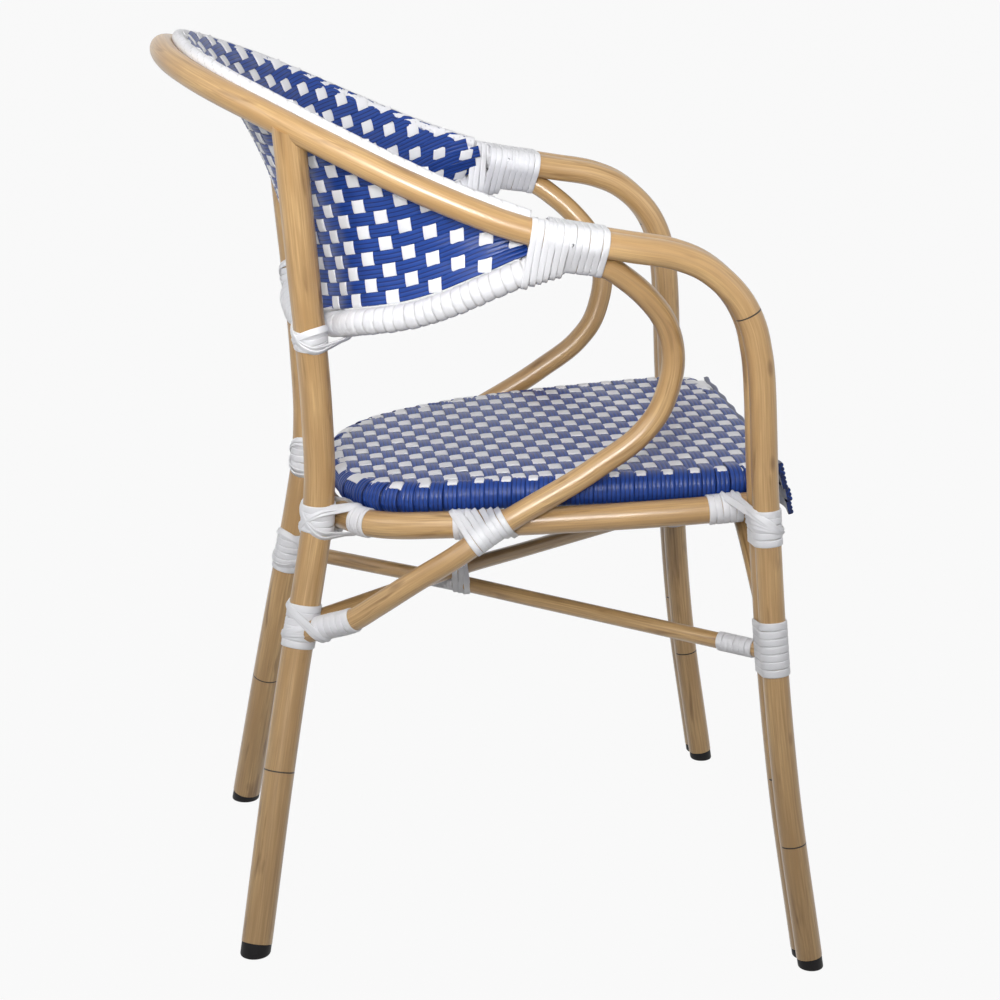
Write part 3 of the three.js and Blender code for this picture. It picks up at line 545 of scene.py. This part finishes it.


# Lashings: one flat strand of white resin, about seven millimetres wide, wound tight round
# each joint, with its ends tucked under the loops. Where two tubes meet, more loops cross over.
# The resin is extruded, milky and half glossy, with fine die lines; painted shade greys its seams.
white, tree = finish_of("white_resin_strand")
die_pitch = 1.5 * mm
lay = add(tree, "Attribute", attribute_name="lay").outputs["Vector"]
across = add(tree, "SeparateXYZ", {"Vector": lay})
die_place = add(tree, "Math", {0: across.outputs["X"], 1: 2 * math.pi / die_pitch}, operation="MULTIPLY")
die_line = add(tree, "Math", {0: die_place}, operation="SINE")
cloud_lay = add(tree, "Mapping", {"Vector": lay, "Scale": (1, 1, 0.3)})
cloud = add(tree, "TexNoise", {"Vector": cloud_lay, "Scale": 120.0, "Detail": 2.0})
milky = add(tree, "Mix", {0: cloud, 6: colour("dadadd"), 7: colour("e6e6ea")}, data_type="RGBA")
# Painted shade: grey near the strand's edges stands in for shade in the seams between loops
painted_seam_shade = {"From Min": 0.1 * mm, "From Max": 0.7 * mm, "To Min": 0.5, "To Max": 0.0}
painted_groove_shade = add(tree, "MapRange", {"Value": across.outputs["Y"], **painted_seam_shade})
seam_shaded_white = add(tree, "Mix", {0: painted_groove_shade, 6: milky, 7: colour("a09d99")}, data_type="RGBA")
relief = add(tree, "Bump", {"Height": die_line, "Strength": 0.25, "Distance": 0.06 * mm})
shader = add(tree, "BsdfPrincipled", {"Base Color": seam_shaded_white, "Roughness": 0.36, "IOR": 1.49, "Normal": relief})
add(tree, "OutputMaterial", {"Surface": shader})


def built(name, skins, turn=50):
    """One mesh from runs of rings, each run closed at its two ends; a run is (rings, lay)."""
    place, lays, faces, first = [], [], [], 0
    for rings, lay_map in skins:
        count, sides = rings.shape[:2]
        i, j = np.arange(count - 1)[:, None], np.arange(sides)[None]
        corner = first + i * sides + j
        nxt = first + i * sides + (j + 1) % sides
        faces += np.stack([corner, nxt, nxt + sides, corner + sides], -1).reshape(-1, 4).tolist()
        faces.append(list(range(first, first + sides))[::-1])
        faces.append(list(range(first + (count - 1) * sides, first + count * sides)))
        place.append(rings.reshape(-1, 3))
        lays.append(lay_map.reshape(-1, 3))
        first += count * sides
    data = bpy.data.meshes.new(name)
    data.from_pydata(np.concatenate(place).tolist(), [], faces)
    lay_data = data.attributes.new("lay", "FLOAT_VECTOR", "POINT").data
    lay_data.foreach_set("vector", np.concatenate(lays).ravel())
    piece = bpy.data.objects.new(name, data)
    scene.collection.objects.link(piece)
    bpy.ops.object.select_all(action="DESELECT")
    piece.select_set(True)
    bpy.context.view_layer.objects.active = piece
    with editing():
        pass
    bpy.ops.object.shade_smooth_by_angle(angle=math.radians(turn))
    return piece


def strand(track, profile, seed=0.0):
    """A strand along a track of places and facings; its profile, across and up, is set square to both."""
    path, out = (np.array(part) for part in zip(*track))
    t = unit(np.gradient(path, axis=0))
    out = unit(out - t * (out * t).sum(1, keepdims=True))
    wide = np.cross(t, out)
    rings = path[:, None] + profile[None, :, :1] * wide[:, None] + profile[None, :, 1:2] * out[:, None]
    lay_map = profile[:, 0], profile[:, 2] * mm, (lengths(path) + seed)[:, None]
    return rings, np.stack(np.broadcast_arrays(*lay_map), -1)


strand_thick = 1.5 * mm


def pillow(width):
    """Section of a lashing strand, rounded with a faint groove: across, up and how near the crest."""
    shape = [(-1, 0), (-0.985, 0.5), (-0.88, 0.84), (-0.55, 1), (0, 0.92)]
    shape += [(-a, b) for a, b in shape[3::-1]]
    return np.array([(a * width / 2, b * strand_thick, b) for a, b in shape])


def outline(place, along, members, count=72):
    """A strand's way round a bundle of tubes, cut square to along: how far round each point lies,
    the points, their facings and the two directions that both are given in."""
    e1 = unit(np.array([1.0, 0, 0]) - along * along[0])
    e2 = np.cross(along, e1)
    angle = np.linspace(0, 2 * math.pi, count, endpoint=False)
    way = np.stack([np.cos(angle), np.sin(angle)], -1)
    far_out, rims = [], []
    for line, radius in members:
        middle, own, there = line.cross(place, along)
        lean = abs(own @ along)
        if lean < 0.5 or not there:
            continue
        slope = np.array([own @ e1, own @ e2])
        size = np.linalg.norm(slope)
        slope = slope / size if size > 1e-6 else np.array([1.0, 0])
        cut = np.array([-slope[1], slope[0]])
        long, short = radius / lean, radius
        reach = np.sqrt((short * (way @ cut)) ** 2 + (long * (way @ slope)) ** 2)
        touch = (short**2 * (way @ cut))[:, None] * cut + (long**2 * (way @ slope))[:, None] * slope
        middle = np.array([(middle - place) @ e1, (middle - place) @ e2])
        far_out.append(way @ middle + reach)
        rims.append(middle + touch / reach[:, None])
    best = np.array(far_out).argmax(0)
    rim = np.array(rims)[best, np.arange(count)]
    rim = np.vstack([rim, rim[:1]])
    way = np.vstack([way, way[:1]])
    far = lengths(rim)
    return far / far[-1], rim, way, e1, e2


def looped(turns, at, members, lift, width, seed):
    """A strand going round and round: at gives the place and direction of each turn's plane."""
    track = []
    for turn in turns:
        place, along = at(turn)
        share, rim, way, e1, e2 = outline(place, along, members)
        here = between(turn % 1, share, rim)
        face = unit(between(turn % 1, share, way))
        # The first and the last eighth of a turn dive under the others
        tuck = min(1, (turn - turns[0]) * 8, (turns[-1] - turn) * 8)
        here = here + face * (lift - (1 - tuck) * (strand_thick + lift))
        track.append((place + e1 * here[0] + e2 * here[1], e1 * face[0] + e2 * face[1]))
    return strand(track, pillow(width), seed)


def wound(host, members, first, last, loops, tilt=0.0):
    """One strand wound from first to last along a host line, round all the members."""
    width = (last - first) / (loops + 1)
    uneven, overlap, steps = 0.25 * mm, 1.03, 36

    def at(turn):
        s = first + width / 2 + (last - first - width) * turn / loops
        s += tilt * math.sin(2 * math.pi * turn) + uneven * math.sin(9.1 * turn)
        p, t = host.at(s)
        return p[0], t[0]

    return looped(np.linspace(0, loops, loops * steps + 1), at, members, 0.0, overlap * width, first * 7)


def fanned(one, others, toward, meet, lean, rise, out_by, loops):
    """Loops round the joint of one tube with others. They lean over, in degrees, from square to it
    towards the first other, and move up the tube and out from it, in millimetres."""
    lift, width, steps = 0.9 * mm, 6.6 * mm, 44
    rise, out_by = [size * mm for size in rise], out_by * mm
    start = one[0].near(meet)[0]
    p, a_way = (v[0] for v in one[0].at(start))
    a_way = a_way if a_way[2] > 0 or abs(a_way[2]) < 0.3 else -a_way
    b_way = others[0][0].at(others[0][0].near(meet))[1][0]
    b_way = b_way * np.sign(b_way @ np.asarray(toward, float))
    b_way = unit(b_way - a_way * (a_way @ b_way))

    def at(turn):
        share = turn / loops
        tip = math.radians(lean[0] + (lean[1] - lean[0]) * share)
        along = a_way * math.cos(tip) + b_way * math.sin(tip)
        place = p + a_way * (rise[0] + (rise[1] - rise[0]) * share) + b_way * out_by * share
        return place, along

    return looped(np.linspace(0, loops, loops * steps + 1), at, [one, *others], lift, width, start * 5)


def span(host, node):
    """How far along the host a CAD winding reaches."""
    s = host.near(points_of(node)[0])
    return s.min(), s.max()


def meeting(one, other):
    """The middle of the place where two tubes come nearest to each other."""
    gaps = ((one.p[:, None] - other.p[None, ::3]) ** 2).sum(-1)
    i, j = np.unravel_index(gaps.argmin(), gaps.shape)
    return (one.p[i] + other.p[::3][j]) / 2


def tube(node):
    """A tube's line and radius."""
    return lines[node], tube_radius[node]


# The tubes run on inside the arm wraps
for word in side_words:
    for node in (f"arm_outer_{word}", f"arm_inner_{word}"):
        lines[node].after = 16 * mm
lines["back_hoop"].before = lines["back_hoop"].after = 10 * mm
rail_radius = 12.5 * mm
rail_line = Line(trace("back_lower_rail", rail_radius))
lower = (rail_line, rail_radius)
rail, hoop = tube("seat_rail"), tube("back_hoop")
ahead, behind = (0, -1, 0.2), (0, 1, 0)
for word, side in side_words.items():
    outer, inner, leg, scroll = (
        tube(f"{name}_{word}") for name in ("arm_outer", "arm_inner", "back_leg", "scroll_brace")
    )
    stretcher = tube("stretcher_lower" if side < 0 else "stretcher_upper")
    own_side = Line(rail[0].p[rail[0].p[:, 0] * side > 0])
    at_seat, at_back = meeting(leg[0], own_side), meeting(leg[0], rail_line)
    at_brace, at_post = meeting(leg[0], scroll[0]), meeting(outer[0], own_side)
    # Each lashing: the tube that it winds along, all that it goes round, its turns, how many
    # millimetres it is longer than its solid at the two ends, and the loops that cross the joint
    lashings = {
        "arm_wrap": (outer, [outer, inner, hoop, scroll, lower], 12, 0, 0, []),
        "lash_leg_seat": (leg, [leg], 4, -6, 0, [
            ([rail], ahead, at_seat, (35, 52), (4, -4), 6, 2),
            ([rail], ahead, at_seat, (-35, -52), (-2, 4), 6, 2),
        ]),
        "lash_rail_leg": (rail, [rail], 4, 0, 0, []),
        "lash_leg_back": (leg, [leg], 3, 4, -12, [
            ([lower], ahead, at_back, (30, 42), (2, -4), 4, 2),
            ([lower], ahead, at_back, (-34, -28), (-2, 2), 4, 1),
        ]),
        "lash_leg_brace": (leg, [leg], 6, 15, 0, [
            ([scroll], ahead, at_brace, (-6, -34), (-16, -6), 12, 4),
            ([scroll], ahead, at_brace, (24, 34), (6, 0), 6, 2),
        ]),
        "lash_brace_leg": (scroll, [scroll], 6, 12, 17, []),
        "lash_brace_rail": (scroll, [scroll, rail], 7, 2, 4, []),
        "lash_rail_brace": (rail, [rail], 3, 0, 2, []),
        "lash_post_seat": (outer, [outer, inner], 5, 0, 0, [
            ([rail, inner], behind, at_post, (-12, -46), (-10, 2), 6, 4),
        ]),
        "lash_rail_post": (rail, [rail], 5, 5, 5, []),
        "lash_post_foot": (outer, [outer, inner], 7, -6, 22, []),
        "lash_stretcher": (stretcher, [stretcher], 6, 9, 0, []),
    }
    for name, (host, members, loops, before, after, crossings) in lashings.items():
        node = f"{name}_{word}"
        first, last = span(host[0], node)
        skins = [wound(host[0], members, first - before * mm, last + after * mm, loops, tilt=0.8 * mm)]
        if name == "arm_wrap":
            # More turns hide the place where the hoop meets the two arm tubes
            for line, radius in (hoop, inner):
                s = line.near(outer[0].p[-1])[0]
                start, stop = max(s - 24 * mm, 1 * mm), min(s + 24 * mm, line.length - 1 * mm)
                skins.append(wound(line, [(line, radius)], start, stop, 6))
        skins += [fanned(host, *crossing) for crossing in crossings]
        place_piece(built(f"strand_{node}", skins), white, "white_strand", node)
one, other = tube("stretcher_lower"), tube("stretcher_upper")
first, last = span(one[0], "lash_stretchers_middle")
skins = [wound(one[0], [one], first - 4 * mm, last + 4 * mm, 6)]
skins.append(fanned(one, [other], (1, 0, 0), meeting(one[0], other[0]), (-50, -30), (-9, 9), 0, 3))
place_piece(built("strand_lash_stretchers_middle", skins), white, "white_strand", "lash_stretchers_middle")


# Lower rail and edge rod of the back: a tube and a thin rod, each wrapped from end to end in
# overlapping turns of wide white strand. The turns are soft and a little uneven.
def wrapped(name, line, radius, band, groove, slant, sides, step):
    """A sleeve of overlapping turns, one band wide, each with a crest and a seam."""
    stations = np.linspace(0, line.length, int(line.length / step) + 1)
    p, t = line.at(stations)
    angle = np.linspace(0, 2 * math.pi, sides + 1)
    turned = angle[None] / (2 * math.pi)
    # Sines that never come into step make each turn a little wider or fuller than the next
    wobble = 0.12 * np.sin(stations * 61) + 0.1 * np.sin(stations * 143 + 1)
    phase = stations[:, None] / band + wobble[:, None] + slant * np.sin(angle)[None] + turned
    share = phase % 1
    crest = 1 - np.abs(2 * share - 1) ** 5
    strand_run = np.floor(phase) - turned
    lump = 0.5 + 0.5 * np.sin(strand_run * 12.9898 + 2.3 * np.sin(strand_run * 3.1))
    size = radius - groove * (1 - crest) - 0.35 * groove * lump - 0.25 * groove * (1 - share)
    rings = p[:, None] + size[..., None] * around(angle, *square_to(t))
    return rolled(name, rings, (share * band, mm * crest, stations[:, None]))


piece = wrapped("wrap_back_lower_rail", rail_line, rail_radius, 9.5 * mm, 1.5 * mm, 0.12, 28, 0.95 * mm)
place_piece(piece, white, "white_strand", "back_lower_rail")
rod_radius = 5.5 * mm
rod_line = Line(trace("back_edge_rod", rod_radius, sides=8))
piece = wrapped("wrap_back_edge_rod", rod_line, rod_radius + 0.8 * mm, 13 * mm, 0.45 * mm, 0.9, 16, 1.0 * mm)
place_piece(piece, white, "white_strand", "back_edge_rod")


# Blue strand: extruded resin tape with three round ribs on each side, woven side to side.
# It shows as deep royal blue with fine bright lines along the ribs, and painted shade between them.
blue, tree = finish_of("blue_ribbed_resin_tape")
lay = add(tree, "Attribute", attribute_name="lay").outputs["Vector"]
cloud_lay = add(tree, "Mapping", {"Vector": lay, "Scale": (1, 1, 0.15)})
cloud = add(tree, "TexNoise", {"Vector": cloud_lay, "Scale": 160.0, "Detail": 2.0})
across = add(tree, "SeparateXYZ", {"Vector": lay})
# Painted shade: the tape goes near black in the valleys between its ribs and at its edges
painted_valley_shade = {"From Min": 0.05 * mm, "From Max": 0.75 * mm, "To Min": 0.85, "To Max": 0.0}
painted_groove_shade = add(tree, "MapRange", {"Value": across.outputs["Y"], **painted_valley_shade})
royal = add(tree, "Mix", {0: cloud, 6: colour("13347c"), 7: colour("1b4292")}, data_type="RGBA")
blue_with_painted_valley_shade = add(tree, "Mix", {0: painted_groove_shade, 6: royal, 7: colour("07123a")}, data_type="RGBA")
gloss = add(tree, "MapRange", {"Value": cloud, "To Min": 0.3, "To Max": 0.42})
shader = add(tree, "BsdfPrincipled", {"Base Color": blue_with_painted_valley_shade, "Roughness": gloss, "Specular IOR Level": 0.35})
add(tree, "OutputMaterial", {"Surface": shader})


def ribbed(width, thick, both=False):
    """Section of the blue tape, three round ribs on one face or both: across, up, how near the crest."""
    top = []
    for a in (0, 0.2, 0.5, 0.8, 1, 1.2, 1.5, 1.8, 2, 2.2, 2.5, 2.8, 3):
        rib = math.sqrt(max(0.0, 1 - (2 * (a % 1) - 1) ** 2))
        top.append(((a / 3 - 0.5) * width, thick * (0.2 + 0.3 * rib), rib))
    if both:
        return np.array(top + [(a, -b, c) for a, b, c in top[::-1]])
    return np.array(top + [(width / 2, -thick / 2, 0), (0, -thick / 2, 0.5), (-width / 2, -thick / 2, 0)])


white_thick = 1.2 * mm


def tape(width, bow=0.0):
    """Section of the white weaving strand: flat, with small round edges, bowed where it lies on a rim."""
    shape = [(-1, 0.3, 0.3), *((a, 0.5, 1) for a in (-0.94, -0.5, 0, 0.5, 0.94)), (1, 0.3, 0.3)]
    shape += [(a, -b, c) for a, b, c in shape[::-1]]
    half = width / 2
    return np.array([(a * half, b * white_thick - (a * half) ** 2 * bow, c) for a, b, c in shape])


# Seat: the frame ring under the edge is wrapped in blue strand, and the woven top is drawn
# tight over it, white strands from back to front and blue tape from side to side.
def level_out(p, t, middle):
    """Level directions square to a line, on the side that faces away from the middle."""
    way = unit(np.cross(t, (0, 0, 1)))
    return way * np.sign(((p - np.array(middle)) * way)[:, :2].sum(1))[:, None]


seat_middle = (0, -0.06, 0)
ring_line = Line(trace("seat_frame", 11.5 * mm), closed=True)
front_middle = ring_line.near((0, -0.25, 0.44))[0]
rib_pitch = 4.03 * mm
rib_height = 0.9 * mm
rim_radius = 13.3 * mm
ribs = round(ring_line.length / rib_pitch)
stations = np.linspace(0, ring_line.length, ribs * 6 + 1)
p, t = ring_line.at(stations + front_middle)
angle = np.linspace(0, 2 * math.pi, 25)
share = (stations / ring_line.length * ribs) % 1
rib = np.sqrt(np.clip(1 - (2 * share - 1) ** 2, 0, 1))
size = (rim_radius - rib_height + rib_height * rib)[:, None, None]
rings = p[:, None] + size * around(angle, level_out(p, t, seat_middle), np.tile((0.0, 0, 1), (len(p), 1)))
lay_map = (share * rib_pitch)[:, None], (mm * rib)[:, None], (angle * rim_radius)[None]
place_piece(rolled("seat_rim_wrap", rings, lay_map), blue, "blue_weave", "seat_frame")

place, tris = points_of("seat_weave")
seat_tree = BVHTree.FromPolygons(place.tolist(), tris.tolist())
apron_low, apron_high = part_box("seat_apron")
white_pitch = 22.3 * mm
blue_pitch = 12.1 * mm
weave_depth = 0.85 * mm
front_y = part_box("seat_weave")[0].y + 5 * mm
ring_p, ring_t = ring_line.at(ring_line.s[:-1])
ring_out = level_out(ring_p, ring_t, seat_middle)


def seat_top(x, y):
    """Height of the seat's upper face; past its edge, the height at the edge."""
    from_above = 0.6
    for pull in (1, 0.98, 0.96, 0.93, 0.9):
        hit = seat_tree.ray_cast(Vector((x * pull, y, from_above)), Vector((0, 0, -1)))
        if hit[0] is not None:
            return hit[0].z
    return ring_p[0, 2] + rim_radius


def on_rim(k, turn, lift):
    """A place on the wrapped rim: turn is 0 on top of the ring and a quarter turn on its outer side."""
    low, rest = int(k) % len(ring_p), k % 1
    middle, away = ((row[low] * (1 - rest) + row[(low + 1) % len(row)] * rest) for row in (ring_p, ring_out))
    way = away * math.sin(turn) + np.array([0, 0, math.cos(turn)])
    return middle + way * (rim_radius + lift), way


def square_wave(turn):
    """A smooth over and under with flat crests."""
    steep = 2.4
    return float(np.tanh(steep * np.cos(math.pi * turn)) / math.tanh(steep))


def ring_at(x=None, y=None, side=1):
    """The place on the ring, in samples, at this width on its rear, or at this depth on one side."""
    axis, goal = (1, y) if x is None else (0, x)
    good = np.where(ring_p[:, 0] * side > 0 if x is None else ring_p[:, 1] > 0)[0]
    k = good[np.abs(ring_p[good, axis] - goal).argmin()]
    slope = (ring_p[(k + 1) % len(ring_p), axis] - ring_p[k - 1, axis]) / 2
    return k + float(np.clip((goal - ring_p[k, axis]) / slope, -1, 1))


# Over the front edge the weave bends down and hangs as a short apron, a little forward of the ring
apron_lean = (apron_high.y - apron_low.y - 4 * mm) / (apron_high.z - apron_low.z)
bend_reach = 4.9 * mm
face_sink = 1.5 * mm


def fore(w, x):
    """The place and facing of the woven face, w behind the front edge, or below it if w is negative."""
    parts, ways = [], []
    for step in (-1, -0.5, 0, 0.5, 1):
        v = w + step * bend_reach
        if v > 0:
            parts.append((x, front_y + v, seat_top(x, front_y + v) - face_sink))
            ways.append((0, 0, 1))
        else:
            ahead = front_y + v * apron_lean - 3 * mm * min(1, -v / (12 * mm))
            parts.append((x, ahead, seat_top(x, front_y + 1 * mm) - face_sink + v))
            ways.append((0, -1, apron_lean))
    return np.mean(parts, axis=0), unit(np.mean(ways, axis=0))


# The blue rows go over the seat and round the rim at both sides, with four short rows on the apron
apron_rows = 4
row_thick, apron_thick, row_lift = 2.0 * mm, 5.0 * mm, 0.5 * mm
shortest_half = 60 * mm
wrap_turns = np.radians(np.arange(9, 215, 9))
skins = []
for k in range(-apron_rows, int((ring_p[:, 1].max() - front_y) / blue_pitch)):
    w = (k + 0.5) * blue_pitch
    half, ends = apron_high.x - 1 * mm, []
    if k >= 0:
        ends = [ring_at(y=fore(w, 0.0)[0][1], side=side) for side in (-1, 1)]
        half = abs(ring_p[int(ends[1]), 0])
        if half < shortest_half:
            continue
    track = [on_rim(ends[0], turn, row_lift) for turn in wrap_turns[::-1]] if ends else []
    for x in np.arange(-half, half + 1e-6, white_pitch / 8):
        p, way = fore(w, x)
        track.append((p - way * weave_depth * math.cos(math.pi * (x / white_pitch + k)), way))
    track += [on_rim(ends[1], turn, row_lift) for turn in wrap_turns] if ends else []
    skins.append(strand(track, ribbed(1.03 * blue_pitch, row_thick if ends else apron_thick), k))
place_piece(built("seat_weave_blue", skins, turn=70), blue, "blue_weave", "seat_weave", "seat_apron")

# White strands run from under the apron's lower edge back over the seat and round the rear
# rim. The outermost one follows the rim all the way round, from one front corner to the other.
skins = []
columns = 8
for i in range(1 - columns, columns):
    rear = ring_at(x=i * white_pitch)
    track = []
    for w in np.arange(-apron_rows * blue_pitch - 1 * mm, ring_p[int(rear), 1] - front_y, blue_pitch / 8):
        p, way = fore(w, i * white_pitch)
        track.append((p + way * weave_depth * square_wave(i + w / blue_pitch - 0.5), way))
    track += [on_rim(rear, turn, -turn * 3 * mm) for turn in np.radians((6, 14, 24, 36))]
    skins.append(strand(track, tape(15 * mm), i))
corners = [int(ring_at(y=front_y + 4 * mm, side=side)) for side in (-1, 1)]
order = np.roll(np.arange(len(ring_p)), -corners[0])
if ring_p[order[20], 1] < ring_p[order[0], 1]:
    order = np.concatenate([order[:1], order[:0:-1]])
# On its way back the outermost strand slides outwards from the top of the rim, by these degrees
track = []
for k in order[: int(np.where(order == corners[1])[0][0])]:
    slide = np.interp(ring_p[k, 1], [0.02, 0.09, 0.14], [3, 13, 20])
    along_side = columns + (ring_p[k, 1] - front_y) / blue_pitch - 0.5
    along_rear = ring_p[k, 0] / white_pitch
    over = square_wave(along_side if abs(ring_t[k, 1]) > abs(ring_t[k, 0]) else along_rear)
    track.append(on_rim(k, math.radians(slide), -0.9 * mm + 2.3 * mm * over))
skins.append(strand(track, tape(13.5 * mm, bow=1 / (2.3 * rim_radius))))
place_piece(built("seat_weave_white", skins, turn=70), white, "white_strand")

# Back: a curved woven panel from the lower rail up to the edge rod. Blue tape runs round the
# back in level rows, and white strands go up through it to the rod.
bulge_size = 50 * mm
start_y = rod_line.p[0, 1] + 6 * mm
near_half = rail_line.s[: len(rail_line.s) // 2]
low_first = near_half[np.abs(rail_line.p[: len(near_half), 1] - start_y).argmin()]
if rod_line.p[0, 0] * rail_line.p[0, 0] < 0:
    rod_line = Line(rod_line.p[::-1])
panel_grid = 400
shares = np.linspace(0, 1, panel_grid + 1)
rod_p, rod_t = rod_line.at(shares * rod_line.length)
inward = -level_out(rod_p, rod_t, (0, 0.06, 0))
top = rod_p + inward * 4 * mm + np.array([0, 0, rod_radius - 1.2 * mm])
run_length = rail_line.length - 2 * low_first
low_p, low_t = rail_line.at(low_first + shares * run_length)
above = unit(np.array([0, 0, 1.0]) - low_t * low_t[:, 2:])
low_edge = low_p + above * (rail_radius + 1 * mm)
bulge = bulge_size * (0.2 + 0.8 * np.sin(math.pi * shares) ** 2)
bend = (top + low_edge) / 2 + inward * bulge[:, None]
climb = np.linspace(0, 1, 81)[None, :, None]
surface = (1 - climb) ** 2 * low_edge[:, None] + 2 * climb * (1 - climb) * bend[:, None]
surface += climb**2 * top[:, None]
reach = np.array([lengths(column) for column in surface])
height = reach[:, -1]


def panel_at(share, distance):
    """A point of the panel, at a share of its length and a distance up from the lower rail."""
    place = share * panel_grid
    k = int(min(max(math.floor(place), 0), panel_grid - 1))
    one, other = (between(distance, reach[row], surface[row]) for row in (k, k + 1))
    rest = place - k
    point = one * (1 - rest) + other * rest
    over = distance - np.interp(share, shares, height)
    if over > 0:
        point = point + unit(surface[k, -1] - surface[k, -3]) * over
    return point


def panel_facing(share, distance):
    """The direction towards the sitter, square to the panel."""
    a = panel_at(min(share + 0.004, 1), distance) - panel_at(max(share - 0.004, 0), distance)
    b = panel_at(share, distance + 2 * mm) - panel_at(share, max(distance - 2 * mm, 0))
    n = unit(np.cross(a, b))
    k = int(round(min(max(share, 0), 1) * panel_grid))
    return n if n @ inward[k] > 0 else -n


# The white columns stand wide apart by the arms and close up to an even spacing behind
first_column, wide_gap, gap_step, even_gap, outer_columns = 38 * mm, 26.5 * mm, 1.2 * mm, 20.5 * mm, 9
column_places, gap = [first_column - low_first], wide_gap
while len(column_places) < outer_columns:
    column_places.append(column_places[-1] + gap)
    gap = max(gap - gap_step, even_gap)
rest = run_length / 2 - column_places[-1]
rest_gap = rest / round(rest / even_gap)
while column_places[-1] < run_length / 2 - 1 * mm:
    column_places.append(column_places[-1] + rest_gap)
column_shares = [place / run_length for place in column_places]
column_shares += [1 - share for share in column_shares[-2::-1]]

# The lower rows end inside the arm wraps, and the upper ones bend along the edge rod
row_pitch, row_step, edge_room = 11.8 * mm, 3.4 * mm, 5.2 * mm
into_wrap, short_of_rod = 8 * mm, 5 * mm
skins = []
for k in range(int(height.max() / row_pitch)):
    distance = (k + 0.5) * row_pitch
    inside = shares[height > distance - row_pitch]
    if len(inside) < 8:
        continue
    hidden = (into_wrap if distance < height[0] - 10 * mm else -short_of_rod) / run_length
    steps = int((inside[-1] - inside[0]) * run_length / row_step)
    run = np.linspace(inside[0] - hidden, inside[-1] + hidden, steps)
    track = []
    for share, number in zip(run, np.interp(run, column_shares, range(len(column_shares)))):
        lowered = min(distance, max(np.interp(share, shares, height) - edge_room, 1 * mm))
        facing = panel_facing(share, lowered)
        under = distance - lowered
        wave = weave_depth * math.cos(math.pi * (number + k)) * max(0, 1 - under / (6 * mm))
        track.append((panel_at(share, lowered) - facing * (wave + 0.1 * under), facing))
    skins.append(strand(track, ribbed(row_pitch, 1.8 * mm, both=True), k))
place_piece(built("back_weave_blue", skins, turn=70), blue, "blue_weave", "back_weave")

skins = []
for number, share in enumerate(column_shares):
    track = []
    for distance in np.arange(-1 * mm, np.interp(share, shares, height) + 1 * mm, row_pitch / 8):
        facing = panel_facing(share, max(distance, 0))
        over = square_wave(number + (distance / row_pitch - 0.5))
        track.append((panel_at(share, max(distance, 0)) + facing * weave_depth * over, facing))
    if len(track) > 3:
        skins.append(strand(track, tape(12.4 * mm), number))
place_piece(built("back_weave_white", skins, turn=70), white, "white_strand")
